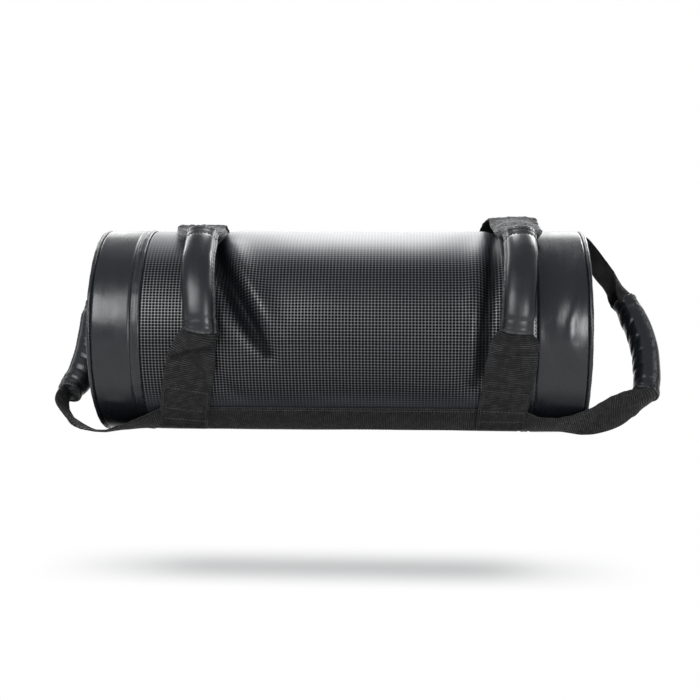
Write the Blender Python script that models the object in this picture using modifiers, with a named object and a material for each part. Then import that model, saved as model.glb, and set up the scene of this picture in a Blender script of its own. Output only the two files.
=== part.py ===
"""A sandbag trainer: a padded vinyl cylinder filled with sand, a loop of webbing sewn along it, and four padded handles.

The bag lies along X with its front at -Y and rests on a narrow flat at Z = 0. Angles round the bag run from the front
(0 degrees) up over the top (90 degrees) to the back (180 degrees).
"""

import math

import bpy
import numpy as np
from mathutils import Vector

MM = 0.001

# The bag
BAG_LENGTH = 500 * MM
BAG_RADIUS = 105 * MM
BOTTOM_FLAT_DEPTH = 1.8 * MM
SKIN_THICKNESS = 1.2 * MM
LEFT_BAND_LENGTH = 38.5 * MM
RIGHT_BAND_LENGTH = 50 * MM
HEM_STRIP_WIDTH = 9.5 * MM
PIPING_RADIUS = 2 * MM
PIPING_PROUD = 1 * MM
DISC_THICKNESS = 1.5 * MM
DISC_CROWN = 5 * MM
GAP = 0.3 * MM
MERGE_DISTANCE = 0.01 * MM

# What the bag holds
FOAM_WRAP_THICKNESS = 20 * MM
END_PAD_THICKNESS = 20 * MM
LINER_THICKNESS = 0.8 * MM
LINER_SHOULDER = 12 * MM
NECK_RADIUS = 10 * MM
NECK_LENGTH = 14 * MM
NECK_RECESS_RADIUS = 17 * MM
TIE_RADIUS = 1.5 * MM

# The webbing and the grips
WEBBING_WIDTH = 50 * MM
WEBBING_THICKNESS = 2 * MM
FOLDED_WIDTH = 24 * MM
FOLDED_THICKNESS = 4 * MM
GATHER_LENGTH = 16 * MM
GRIP_LENGTH = 114 * MM
GRIP_WIDTH = 32 * MM
FRONT_GRIP_THICKNESS = 24 * MM
END_GRIP_THICKNESS = 28 * MM
SLEEVE_THICKNESS = 1.2 * MM
FOAM_SETBACK = 3 * MM
ROW_SPACING = 9 * MM

# The strips along the bag and the end handles that go on from them
STRIP_ANGLE = math.radians(-54)
END_PIVOT_INSET = 32 * MM

# The handles across the bag: how high they stand off it and how far they wander sideways
FRONT_LIFT = 17.5 * MM
FRONT_SWAY = 16 * MM
LEFT_FRONT_SHARE = -0.6
RIGHT_FRONT_SHARE = 0.674

AXIS_HEIGHT = BAG_RADIUS - BOTTOM_FLAT_DEPTH
HALF_LENGTH = BAG_LENGTH / 2
STRIP_RADIUS = BAG_RADIUS + GAP + WEBBING_THICKNESS / 2
PATCH_RADIUS = STRIP_RADIUS + WEBBING_THICKNESS + GAP
PIVOT_RADIUS = WEBBING_WIDTH / 2
PIVOT_GAP = 2 * GAP
FOAM_GAP = 2 * GAP
END_PIVOT_X = HALF_LENGTH - END_PIVOT_INSET

# Counts and shares that set how finely a surface is drawn
OUTLINE_POINTS = 40
SECTION_POINTS = 12
PATH_SAMPLES = 400
STRAP_COLUMNS = 6
GRIP_RINGS = 10

# Along each handle across the bag, from its lower patch to its upper one: the angle round the bag in degrees, the share
# of the lift, and the share of the sway. The handles' places are shares of half the bag's length.
LEFT_FRONT_SHARES = [
    (-61, 0, -0.81), (-42, 0, -0.44), (-22, 0.02, 0.02), (-8, 0.15, 0.4), (6.4, 0.7, 0.94), (16, 0.91, 0.94),
    (35, 0.94, 0.75), (55, 0.73, 0.69), (66, 0.54, 0.56), (78, 0.36, 0.25), (88, 0.29, 0.1), (96, 0.22, 0),
    (103, 0.13, 0), (113, 0.03, 0), (122, 0, 0), (142, 0, 0),
]
RIGHT_FRONT_SHARES = [
    (-61, 0, -0.28), (-42, 0, -0.28), (-22, 0.02, -0.05), (-8, 0.15, 0.18), (6.4, 0.7, 0.33), (16, 0.91, 0.45),
    (35, 0.94, 0.65), (55, 0.73, 0.72), (66, 0.64, 0.68), (78, 0.63, 0.58), (88, 0.62, 0.53), (96, 0.46, 0.36),
    (103, 0.26, 0.2), (113, 0.05, 0.04), (122, 0, 0), (142, 0, 0),
]
FRONT_LOW_ANGLE = math.radians(-8)
FRONT_HIGH_ANGLE = math.radians(102)
FRONT_GRIP_ANGLE = math.radians(6.4)

# Places along the end handles, from the front strip to the rear one: how far out from the pivots, as a share of the
# reach, where along the line between the pivots, as a share of the strips' radius, and how far back, as a share of the reach
END_REACH = 98 * MM
RIGHT_END_SHARES = [
    (0, 1, 0), (0.1, 1, 0), (0.3, 1.016, 0), (0.45, 1.005, 0), (0.62, 0.965, 0), (0.82, 0.875, 0),
    (0.95, 0.73, 0), (1, 0.4, 0), (0.985, 0.1, 0), (0.9, -0.17, 0), (0.8, -0.4, 0), (0.71, -0.57, 0),
    (0.61, -0.72, 0), (0.52, -0.86, 0), (0.42, -0.97, 0), (0.3, -1.016, 0), (0.1, -1, 0), (0, -1, 0),
]
LEFT_END_SHARES = [
    (0, 1, 0), (0.1, 1, 0), (0.3, 1.012, 0), (0.44, 0.995, 0), (0.59, 0.93, 0.04), (0.7, 0.82, 0.13),
    (0.74, 0.68, 0.21), (0.72, 0.54, 0.26), (0.645, 0.38, 0.275), (0.59, 0.1, 0.255), (0.57, -0.2, 0.23),
    (0.56, -0.48, 0.2), (0.56, -0.7, 0.15), (0.54, -0.88, 0.07), (0.45, -1.0, 0.01), (0.3, -1.02, 0),
    (0.1, -1, 0), (0, -1, 0),
]
LEFT_END_GRIP_START = 104 * MM
RIGHT_END_GRIP_START = 108 * MM


def clear_scene():
    """Removes whatever the scene holds."""
    for item in list(bpy.data.objects):
        bpy.data.objects.remove(item)


def material(name, colour, roughness):
    """A plain Principled material."""
    made = bpy.data.materials.new(name)
    made.use_nodes = True
    shader = made.node_tree.nodes["Principled BSDF"]
    shader.inputs["Base Color"].default_value = (*colour, 1)
    shader.inputs["Roughness"].default_value = roughness
    shader.inputs["Metallic"].default_value = 0
    return made


def add(name, data, look):
    """Puts a mesh or a curve in the part's collection as an object of its own."""
    item = bpy.data.objects.new(name, data)
    data.materials.append(look)
    PART.objects.link(item)
    return item


def smooth(mesh):
    """Smooth shading that keeps the corners sharp."""
    mesh.shade_smooth()
    mesh.set_sharp_from_angle(angle=math.radians(40))


def wrapped_mesh(name, grid, around_rows):
    """A closed mesh from a grid of points whose columns go round. The rows go round too, or end in flat caps."""
    rows, columns = grid.shape[:2]
    faces = []
    for i in range(rows if around_rows else rows - 1):
        for j in range(columns):
            i2, j2 = (i + 1) % rows, (j + 1) % columns
            faces.append((i * columns + j, i * columns + j2, i2 * columns + j2, i2 * columns + j))
    if not around_rows:
        faces.append(tuple(reversed(range(columns))))
        faces.append(tuple(range((rows - 1) * columns, rows * columns)))
    mesh = bpy.data.meshes.new(name)
    mesh.from_pydata(grid.reshape(-1, 3).tolist(), [], faces)
    return mesh


def facing_out(mesh):
    """Turns the faces round where they enclose a negative volume."""
    mesh.calc_loop_triangles()
    corners = np.array([[mesh.vertices[v].co for v in t.vertices] for t in mesh.loop_triangles])
    if np.einsum("ij,ij->i", corners[:, 0], np.cross(corners[:, 1], corners[:, 2])).sum() < 0:
        mesh.flip_normals()
    return mesh


# The bag's outlines
def flat_outline(radius, floor):
    """Points round a circle whose bottom is cut flat at the depth called floor, in Y and Z from the bag's axis."""
    corner = math.acos(min(floor / radius, 1))
    angles = np.linspace(-math.pi / 2 + corner, 1.5 * math.pi - corner, OUTLINE_POINTS)
    return np.stack([-radius * np.cos(angles), radius * np.sin(angles)], axis=1)


def skin_outline(depth):
    """The bag's outline at this depth under its skin."""
    return flat_outline(BAG_RADIUS - depth, AXIS_HEIGHT - depth)


def circle_outline(radius):
    angles = np.linspace(0, 2 * math.pi, OUTLINE_POINTS, endpoint=False)
    return np.stack([-radius * np.cos(angles), radius * np.sin(angles)], axis=1)


def tube(name, outlines, start, end, look):
    """A length of the bag between two places on X, from one outline, or two where the second is its bore."""
    curve = bpy.data.curves.new(name, "CURVE")
    curve.dimensions = "2D"
    curve.fill_mode = "BOTH"
    curve.extrude = (end - start) / 2
    for outline in outlines:
        spline = curve.splines.new("POLY")
        spline.points.add(len(outline) - 1)
        spline.use_cyclic_u = True
        for point, (y, z) in zip(spline.points, outline):
            point.co = (y, z, 0, 1)
    item = add(name, curve, look)
    item.rotation_euler = (math.pi / 2, 0, math.pi / 2)
    item.location = ((start + end) / 2, 0, AXIS_HEIGHT)
    return item


def build_skin():
    """The bands, the hem strips and the panel, in line along the bag, each ending a gap short of the next."""
    rim = HALF_LENGTH - 2 * PIPING_RADIUS - GAP
    left_hem = -rim + LEFT_BAND_LENGTH + GAP
    right_hem = rim - RIGHT_BAND_LENGTH - GAP
    skin = (skin_outline(0), skin_outline(SKIN_THICKNESS))
    tube("left_end_band", skin, -rim, left_hem - GAP, SMOOTH_VINYL)
    tube("left_hem_strip", skin, left_hem, left_hem + HEM_STRIP_WIDTH, SMOOTH_VINYL)
    tube("main_panel", skin, left_hem + HEM_STRIP_WIDTH + GAP, right_hem - HEM_STRIP_WIDTH - GAP, EMBOSSED_VINYL)
    tube("right_hem_strip", skin, right_hem - HEM_STRIP_WIDTH, right_hem, SMOOTH_VINYL)
    tube("right_end_band", skin, right_hem + GAP, rim, SMOOTH_VINYL)


def build_piping(name, side):
    """The welt round a rim: a thin round cord that is pressed flat with the bag where it rests."""
    outline = flat_outline(BAG_RADIUS + PIPING_PROUD - PIPING_RADIUS, AXIS_HEIGHT - PIPING_RADIUS)
    curve = bpy.data.curves.new(name, "CURVE")
    curve.dimensions = "3D"
    curve.bevel_depth = PIPING_RADIUS
    curve.bevel_resolution = 1
    spline = curve.splines.new("POLY")
    spline.points.add(len(outline) - 1)
    spline.use_cyclic_u = True
    for point, (y, z) in zip(spline.points, outline):
        point.co = (0, y, z, 1)
    item = add(name, curve, SMOOTH_VINYL)
    item.location = (side * (HALF_LENGTH - PIPING_RADIUS), 0, AXIS_HEIGHT)


def build_disc(name, side):
    """A round end: a sheet whose edge lies inside the piping and whose middle is crowned by the foam behind it."""
    inset = 2 * PIPING_RADIUS - PIPING_PROUD + GAP
    edge = flat_outline(BAG_RADIUS - inset, AXIS_HEIGHT - inset - PIPING_PROUD)
    edge_x = HALF_LENGTH - PIPING_RADIUS
    ring_shares = [1, 0.93, 0.7, 0.4, 0.12]
    rings = []
    for back in (0, DISC_THICKNESS):
        for share in ring_shares if back == 0 else reversed(ring_shares):
            x = edge_x + DISC_CROWN * (1 - share**2) - back
            rings.append([(side * x, y * share, z * share) for y, z in edge])
    outer, inner = rings[: len(ring_shares)], rings[len(ring_shares) :]
    grid = np.array(list(reversed(outer)) + list(reversed(inner)))
    item = add(name, facing_out(wrapped_mesh(name, grid, False)), SMOOTH_VINYL)
    item.location = (0, 0, AXIS_HEIGHT)
    smooth(item.data)


# What the bag holds
def turned(name, profile, look):
    """A shape turned about the bag's axis. The profile is (distance from the axis, place on X) and runs from +X to -X."""
    mesh = bpy.data.meshes.new(name)
    points = [(radius, 0, x) for radius, x in profile]
    mesh.from_pydata(points, [(k, k + 1) for k in range(len(points) - 1)], [])
    item = add(name, mesh, look)
    screw = item.modifiers.new("Turn", "SCREW")
    screw.steps = OUTLINE_POINTS
    screw.render_steps = OUTLINE_POINTS
    screw.use_merge_vertices = True
    screw.merge_threshold = MERGE_DISTANCE
    item.rotation_euler = (0, math.pi / 2, 0)
    item.location = (0, 0, AXIS_HEIGHT)
    return item


def build_filling():
    """Foam round the bag and at its ends, the liner sack with its tied neck, and the sand."""
    pad_outer = HALF_LENGTH - PIPING_RADIUS - DISC_THICKNESS - GAP
    pad_inner = pad_outer - END_PAD_THICKNESS
    pad_outline = skin_outline(SKIN_THICKNESS + PIPING_RADIUS + PIPING_PROUD)
    tube("left_end_pad", (pad_outline, circle_outline(NECK_RECESS_RADIUS)), -pad_outer, -pad_inner, FOAM)
    tube("right_end_pad", (pad_outline,), pad_inner, pad_outer, FOAM)
    bore = BAG_RADIUS - SKIN_THICKNESS - GAP - FOAM_WRAP_THICKNESS
    wrap_end = pad_inner - GAP
    wrap = (skin_outline(SKIN_THICKNESS + GAP), circle_outline(bore))
    tube("foam_wrap", wrap, -wrap_end, wrap_end, FOAM)
    outer = bore - GAP
    inner = outer - LINER_THICKNESS
    end = wrap_end - GAP
    neck_end = -end - NECK_LENGTH
    turned("liner_sack", [
        (0, end), (outer - LINER_SHOULDER, end), (outer, end - LINER_SHOULDER), (outer, -end + LINER_SHOULDER),
        (NECK_RADIUS, -end), (NECK_RADIUS, neck_end), (NECK_RADIUS - LINER_THICKNESS, neck_end),
        (NECK_RADIUS - LINER_THICKNESS, -end + LINER_THICKNESS), (inner, -end + LINER_SHOULDER),
        (inner, end - LINER_SHOULDER), (outer - LINER_SHOULDER, end - LINER_THICKNESS), (0, end - LINER_THICKNESS),
    ], CANVAS)
    sand_radius = inner - GAP
    sand_end = end - LINER_THICKNESS - GAP
    shoulder = outer - LINER_SHOULDER
    turned("sand_fill", [
        (0, sand_end), (shoulder - GAP, sand_end), (sand_radius, sand_end - LINER_SHOULDER),
        (sand_radius, -sand_end + LINER_SHOULDER), (NECK_RADIUS, -sand_end + GAP), (0, -sand_end + GAP),
    ], SAND)
    bpy.ops.mesh.primitive_torus_add(
        major_radius=NECK_RADIUS + GAP + TIE_RADIUS, minor_radius=TIE_RADIUS,
        major_segments=OUTLINE_POINTS, minor_segments=SECTION_POINTS,
    )
    ring = bpy.context.object
    tie = add("liner_tie", ring.data, SMOOTH_VINYL)
    bpy.data.objects.remove(ring)
    tie.rotation_euler = (0, math.pi / 2, 0)
    tie.location = (neck_end + NECK_LENGTH / 2, 0, AXIS_HEIGHT)
    smooth(tie.data)


# Paths that the webbing follows
def smooth_through(points):
    """Many points on a smooth curve that passes through these (Catmull-Rom)."""
    points = np.array(points, float)
    before, after = 2 * points[:1] - points[1:2], 2 * points[-1:] - points[-2:-1]
    p = np.concatenate([before, points, after])
    steps = np.linspace(0, len(points) - 1, PATH_SAMPLES)
    k = np.minimum(steps.astype(int), len(points) - 2)
    t = (steps - k)[:, None]
    a, b, c, d = p[k], p[k + 1], p[k + 2], p[k + 3]
    return 0.5 * (2 * b + (c - a) * t + (2 * a - 5 * b + 4 * c - d) * t**2 + (3 * b - a - 3 * c + d) * t**3)


class Path:
    """A curve given by many points, read by distance along it. Past its ends it goes straight on.

    width is the direction across the webbing; the normal is at right angles to it and to the curve.
    """

    def __init__(self, points, width):
        self.points = points
        lengths = np.linalg.norm(np.diff(points, axis=0), axis=1)
        self.along = np.concatenate([[0], np.cumsum(lengths)])
        self.length = self.along[-1]
        tangents = np.gradient(points, axis=0)
        self.tangents = tangents / np.linalg.norm(tangents, axis=1)[:, None]
        self.width = np.array(width)

    def at(self, distance):
        """The point, the direction across and the normal at this distance."""
        held = min(max(distance, 0), self.length)
        point = np.array([np.interp(held, self.along, self.points[:, k]) for k in range(3)])
        tangent = np.array([np.interp(held, self.along, self.tangents[:, k]) for k in range(3)])
        tangent /= np.linalg.norm(tangent)
        across = self.width - tangent * np.dot(self.width, tangent)
        across /= np.linalg.norm(across)
        return point + tangent * (distance - held), across, np.cross(across, tangent)

    def place(self, distance, sideways, height):
        point, across, normal = self.at(distance)
        return point + across * sideways + normal * height


def strap_mesh(name, rows, place):
    """A closed strap from rows of (distance, sideways, half thickness), each carried into space by place."""
    top = np.array([[place(a, b, h) for a, b, h in row] for row in rows])
    bottom = np.array([[place(a, b, -h) for a, b, h in row] for row in rows])
    grid = np.concatenate([top, bottom[:, ::-1]], axis=1)
    count, columns = grid.shape[:2]
    half = columns // 2
    faces = []
    for i in range(count - 1):
        for j in range(columns):
            j2 = (j + 1) % columns
            faces.append((i * columns + j, i * columns + j2, (i + 1) * columns + j2, (i + 1) * columns + j))
    for base, turn in ((0, 1), ((count - 1) * columns, -1)):
        for j in range(half - 1):
            cap = (base + j, base + columns - 1 - j, base + columns - 2 - j, base + j + 1)
            faces.append(cap[::turn])
    mesh = bpy.data.meshes.new(name)
    mesh.from_pydata(grid.reshape(-1, 3).tolist(), [], faces)
    return facing_out(mesh)


def hollow_end(sideways, radius):
    """How far short of a pivot a fixed strap stops, so that the round end of the moving one turns inside it."""
    hollow = radius + PIVOT_GAP
    corner = hollow * math.sin(math.pi / 4)
    return math.sqrt(hollow**2 - min(abs(sideways), corner) ** 2)


def strap_sides(half_width):
    return np.linspace(-half_width, half_width, STRAP_COLUMNS + 1)


def build_strip(name, angle):
    """Webbing sewn along the bag. Both its ends are hollowed for the round ends of the end handles."""
    rows = []
    for share in np.linspace(-1, 1, 7):
        row = []
        for b in strap_sides(WEBBING_WIDTH / 2):
            row.append((share * (END_PIVOT_X - hollow_end(b, PIVOT_RADIUS)), b, WEBBING_THICKNESS / 2))
        rows.append(row)

    def place(a, b, h):
        turn = angle + b / STRIP_RADIUS
        radius = STRIP_RADIUS + h
        return np.array([a, -radius * math.cos(turn), AXIS_HEIGHT + radius * math.sin(turn)])

    item = add(name, strap_mesh(name, rows, place), WEBBING)
    smooth(item.data)


def grip_distances(start):
    """Where a grip has its rings. Its sleeve, its foam and its webbing all share them, so that they nest."""
    inner = np.linspace(start + FOAM_SETBACK, start + GRIP_LENGTH - FOAM_SETBACK, GRIP_RINGS)
    return np.concatenate([[start], inner, [start + GRIP_LENGTH]])


def webbing_rows(length, gathers):
    """Rows of a free strap that ends in half discs at both pivots and is gathered to a fold through the grip."""
    start, end = gathers
    turns = np.radians([12, 30, 50, 70, 90])
    distances = list(-PIVOT_RADIUS * np.cos(turns))
    widths = list(PIVOT_RADIUS * np.sin(turns))
    before, after = start - GATHER_LENGTH, end + GATHER_LENGTH
    inner = np.concatenate([
        np.linspace(0, before, math.ceil(before / ROW_SPACING) + 1)[1:], grip_distances(start),
        np.linspace(after, length, math.ceil((length - after) / ROW_SPACING) + 1)[:-1],
    ])
    rows = []
    for a, half in zip(distances, widths):
        rows.append([(a, b, WEBBING_THICKNESS / 2) for b in strap_sides(half)])
    for a in inner:
        folded = start <= a <= end
        half = (FOLDED_WIDTH if folded else WEBBING_WIDTH) / 2
        thick = (FOLDED_THICKNESS if folded else WEBBING_THICKNESS) / 2
        rows.append([(a, b, thick) for b in strap_sides(half)])
    for a, half in zip(reversed(distances), reversed(widths)):
        rows.append([(length - a, b, WEBBING_THICKNESS / 2) for b in strap_sides(half)])
    return rows


def grip_sections(path, distances, half_width, half_thickness, roundness):
    """Rings round the path along a grip: ellipses, or nearer to rectangles where the roundness is low."""
    angles = np.linspace(0, 2 * math.pi, SECTION_POINTS, endpoint=False)
    c, s = np.cos(angles), np.sin(angles)
    across = half_width * np.sign(c) * np.abs(c) ** roundness
    up = half_thickness * np.sign(s) * np.abs(s) ** roundness
    rings = []
    for a in distances:
        point, side, normal = path.at(a)
        rings.append([point + side * u + normal * v for u, v in zip(across, up)])
    return rings


def build_grip(prefix, path, start, thickness, parent):
    """A grip: foam with a slot for the folded webbing, and the sleeve sewn over it."""
    half_width, half_thickness = GRIP_WIDTH / 2, thickness / 2
    sleeve_at = grip_distances(start)
    foam_at = sleeve_at[1:-1]
    wall = SLEEVE_THICKNESS
    outside = grip_sections(path, sleeve_at, half_width, half_thickness, 1)
    inside = grip_sections(path, sleeve_at, half_width - wall, half_thickness - wall, 1)
    grid = np.array(outside + list(reversed(inside)))
    sleeve = add(f"{prefix}_sleeve", facing_out(wrapped_mesh(f"{prefix}_sleeve", grid, True)), SMOOTH_VINYL)
    skin = wall + FOAM_GAP
    outside = grip_sections(path, foam_at, half_width - skin, half_thickness - skin, 1)
    slot = (FOLDED_WIDTH / 2 + 2 * GAP, FOLDED_THICKNESS / 2 + 2 * GAP)
    inside = grip_sections(path, foam_at, *slot, 0.2)
    grid = np.array(outside + list(reversed(inside)))
    foam = add(f"{prefix}_foam", facing_out(wrapped_mesh(f"{prefix}_foam", grid, True)), FOAM)
    for item in (sleeve, foam):
        smooth(item.data)
        hang(item, parent)


def hang(item, parent):
    """Parents an object and leaves it where it is."""
    item.parent = parent
    item.matrix_parent_inverse = parent.matrix_world.inverted()


def hinge(name, low, high):
    """An empty midway between two pivots, whose Z axis runs from the first to the second."""
    empty = bpy.data.objects.new(name, None)
    PART.objects.link(empty)
    direction = (high - low) / np.linalg.norm(high - low)
    empty.location = (low + high) / 2
    empty.rotation_mode = "QUATERNION"
    empty.rotation_quaternion = Vector(direction).to_track_quat("Z", "Y")
    bpy.context.view_layer.update()
    print(name, "centre", [round(v, 6) for v in (low + high) / 2], "axis", [round(v, 6) for v in direction])
    return empty


def build_end_handle(prefix, side, shares, start):
    """A loop from the front strip round one end to the rear strip, hinged on the line between its two pivots."""
    chord = np.array([0, -math.cos(STRIP_ANGLE), math.sin(STRIP_ANGLE)])
    back = np.array([0, -math.sin(STRIP_ANGLE), -math.cos(STRIP_ANGLE)])
    out = np.array([side, 0, 0])
    centre = np.array([side * END_PIVOT_X, 0, AXIS_HEIGHT])
    reach, along, behind = smooth_through(shares).T[:, :, None]
    path = Path(centre + (out * reach + back * behind) * END_REACH + chord * along * STRIP_RADIUS, back * side)
    parent = hinge(f"{prefix}_hinge", path.points[0], path.points[-1])
    rows = webbing_rows(path.length, (start, start + GRIP_LENGTH))
    webbing = add(f"{prefix}_webbing", strap_mesh(f"{prefix}_webbing", rows, path.place), WEBBING)
    smooth(webbing.data)
    hang(webbing, parent)
    build_grip(prefix, path, start, END_GRIP_THICKNESS, parent)


def build_front_handle(prefix, x, shares):
    """A handle across the bag: patches sewn over the two strips, and the free webbing and the grip between them."""
    degrees, lift, sway = smooth_through(shares).T
    angle = np.radians(degrees)
    radius = PATCH_RADIUS + FRONT_LIFT * lift
    points = [x + FRONT_SWAY * sway, -radius * np.cos(angle), AXIS_HEIGHT + radius * np.sin(angle)]
    whole = Path(np.stack(points, axis=1), (-1, 0, 0))
    places = (FRONT_LOW_ANGLE, FRONT_HIGH_ANGLE, FRONT_GRIP_ANGLE)
    low, high, start = np.interp(places, angle, whole.along)
    sides = strap_sides(WEBBING_WIDTH / 2)
    half = WEBBING_THICKNESS / 2
    for part, edge, pivot, turn in (("lower", 0, low, -1), ("upper", whole.length, high, 1)):
        rows = []
        for share in np.linspace(0, 1, 9):
            ends = [pivot + turn * hollow_end(b, PIVOT_RADIUS) for b in sides]
            rows.append([(edge + (end - edge) * share, b, half) for end, b in zip(ends, sides)])
        name = f"{prefix}_{part}_patch"
        patch = add(name, strap_mesh(name, rows, whole.place), WEBBING)
        smooth(patch.data)
    parent = hinge(f"{prefix}_hinge", whole.at(low)[0], whole.at(high)[0])
    rows = webbing_rows(high - low, (start - low, start - low + GRIP_LENGTH))
    rows = [[(a + low, b, h) for a, b, h in row] for row in rows]
    webbing = add(f"{prefix}_webbing", strap_mesh(f"{prefix}_webbing", rows, whole.place), WEBBING)
    smooth(webbing.data)
    hang(webbing, parent)
    build_grip(prefix, whole, start, FRONT_GRIP_THICKNESS, parent)


clear_scene()
PART = bpy.data.collections.new("Sandbag trainer")
bpy.context.scene.collection.children.link(PART)
SMOOTH_VINYL = material("smooth vinyl", (0.018, 0.02, 0.024), 0.25)
EMBOSSED_VINYL = material("embossed vinyl", (0.02, 0.021, 0.024), 0.45)
WEBBING = material("webbing", (0.012, 0.012, 0.013), 0.85)
FOAM = material("foam", (0.3, 0.3, 0.31), 0.95)
CANVAS = material("liner canvas", (0.5, 0.47, 0.4), 0.9)
SAND = material("sand", (0.55, 0.43, 0.28), 1)

build_skin()
for end, side in (("left", -1), ("right", 1)):
    build_piping(f"{end}_piping", side)
    build_disc(f"{end}_end_disc", side)
build_filling()
build_strip("front_strip", STRIP_ANGLE)
build_strip("rear_strip", STRIP_ANGLE + math.pi)
build_end_handle("left_end", -1, LEFT_END_SHARES, LEFT_END_GRIP_START)
build_end_handle("right_end", 1, RIGHT_END_SHARES, RIGHT_END_GRIP_START)
build_front_handle("left_front", LEFT_FRONT_SHARE * HALF_LENGTH, LEFT_FRONT_SHARES)
build_front_handle("right_front", RIGHT_FRONT_SHARE * HALF_LENGTH, RIGHT_FRONT_SHARES)
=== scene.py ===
"""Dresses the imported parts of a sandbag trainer: vinyl skin, ribbed webbing, padded grips, thread and light.

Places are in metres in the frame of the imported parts: X along the bag, -Y to its front and Z up. Angles round
the bag run from its front (0) up over its top (a quarter turn) to its back.
"""

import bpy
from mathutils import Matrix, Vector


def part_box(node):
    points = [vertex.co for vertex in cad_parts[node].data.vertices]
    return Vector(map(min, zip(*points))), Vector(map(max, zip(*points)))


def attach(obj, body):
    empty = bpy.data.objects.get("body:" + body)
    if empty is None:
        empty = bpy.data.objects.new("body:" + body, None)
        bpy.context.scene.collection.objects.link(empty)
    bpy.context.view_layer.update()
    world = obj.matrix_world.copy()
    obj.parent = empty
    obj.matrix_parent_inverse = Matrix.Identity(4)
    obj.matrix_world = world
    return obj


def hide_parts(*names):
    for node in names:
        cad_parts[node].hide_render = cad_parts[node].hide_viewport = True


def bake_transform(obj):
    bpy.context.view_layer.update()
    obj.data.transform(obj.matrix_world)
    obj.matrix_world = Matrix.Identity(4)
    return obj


bl_info = {
    "name": "Sandbag trainer",
    "version": (1, 0, 0),
    "blender": (4, 5, 0),
    "location": "3D View > Sidebar > Sandbag",
    "description": "Dresses the packed parts of a sandbag trainer with its skin, webbing, grips and thread",
    "category": "Mesh",
}

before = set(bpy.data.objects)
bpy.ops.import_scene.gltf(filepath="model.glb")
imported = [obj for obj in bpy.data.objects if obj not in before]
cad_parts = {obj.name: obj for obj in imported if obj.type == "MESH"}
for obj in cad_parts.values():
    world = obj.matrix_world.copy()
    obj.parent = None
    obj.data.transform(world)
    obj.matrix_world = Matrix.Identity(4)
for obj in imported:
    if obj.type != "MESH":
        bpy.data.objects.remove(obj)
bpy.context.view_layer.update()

import math

import bpy
import numpy as np
from mathutils import Vector

MM = 0.001
TURN = 2 * math.pi

# The bag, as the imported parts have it
BAG_RADIUS = 105 * MM
AXIS_HEIGHT = 103.2 * MM
HALF_LENGTH = 250 * MM
PIPING_RADIUS = 2 * MM
PIPING_PROUD = 1 * MM
DISC_INSET = 3.3 * MM
DISC_CROWN = 5 * MM
DISC_WALL = 1.5 * MM
FOAM_BORE = 83.5 * MM
GAP = 0.3 * MM

# The webbing and the grips
WEBBING_WIDTH = 50 * MM
WEBBING_HALF = 0.64 * MM
RIB_HEIGHT = 0.4 * MM
DOUBLED_HALF = 0.35 * MM
STRIP_ANGLE = math.radians(-54)
STRIP_RADIUS = 106.3 * MM
STRIP_HUG = WEBBING_WIDTH / 2 / STRIP_RADIUS
STRIP_END_X = 160 * MM
PATCH_RADIUS = 108.6 * MM
END_PIVOT_X = 218 * MM
END_REACH = 98 * MM
GRIP_LENGTH = 114 * MM
GRIP_HALF_WIDTH = 16 * MM
FRONT_GRIP_HALF = 12 * MM
END_GRIP_HALF = 14 * MM
MOUTH_DEPTH = 6 * MM
LIP_RADIUS = 1.2 * MM
GRIP_HEM = 12 * MM
FRONT_LIFT = 17.5 * MM
FRONT_SWAY = 16 * MM
LEFT_FRONT_X = -150 * MM
RIGHT_FRONT_X = 168.5 * MM
FRONT_LOW_DEGREES = -8
FRONT_HIGH_DEGREES = 102
FRONT_GRIP_DEGREES = 6.4

# How many places the surfaces have round them and along them
SKIN_COLUMNS = 252
WELT_ROWS = 420
WELT_COLUMNS = 14
DISC_COLUMNS = 240
FOAM_ROWS = 90
FOAM_COLUMNS = 160
STRAP_COLUMNS = 23
GRIP_ROWS = 110
GRIP_COLUMNS = 72
ROUTE_POINTS = 400

# Along the handles across the bag: the angle in degrees, the share of the lift, and that of the sway
LEFT_FRONT_SHARES = [
    (-61, 0, -0.81), (-42, 0, -0.44), (-22, 0.02, 0.02), (-8, 0.15, 0.4), (6.4, 0.7, 0.94),
    (16, 0.91, 0.94), (35, 0.94, 0.75), (55, 0.73, 0.69), (66, 0.54, 0.56), (78, 0.36, 0.25),
    (88, 0.29, 0.1), (96, 0.22, 0), (103, 0.13, 0), (113, 0.03, 0), (122, 0, 0), (142, 0, 0),
]
RIGHT_FRONT_SHARES = [
    (-61, 0, -0.28), (-42, 0, -0.28), (-22, 0.02, -0.05), (-8, 0.15, 0.18), (6.4, 0.7, 0.33),
    (16, 0.91, 0.45), (35, 0.94, 0.65), (55, 0.73, 0.72), (66, 0.64, 0.68), (78, 0.63, 0.58),
    (88, 0.62, 0.53), (96, 0.46, 0.36), (103, 0.26, 0.2), (113, 0.05, 0.04), (122, 0, 0), (142, 0, 0),
]
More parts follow.
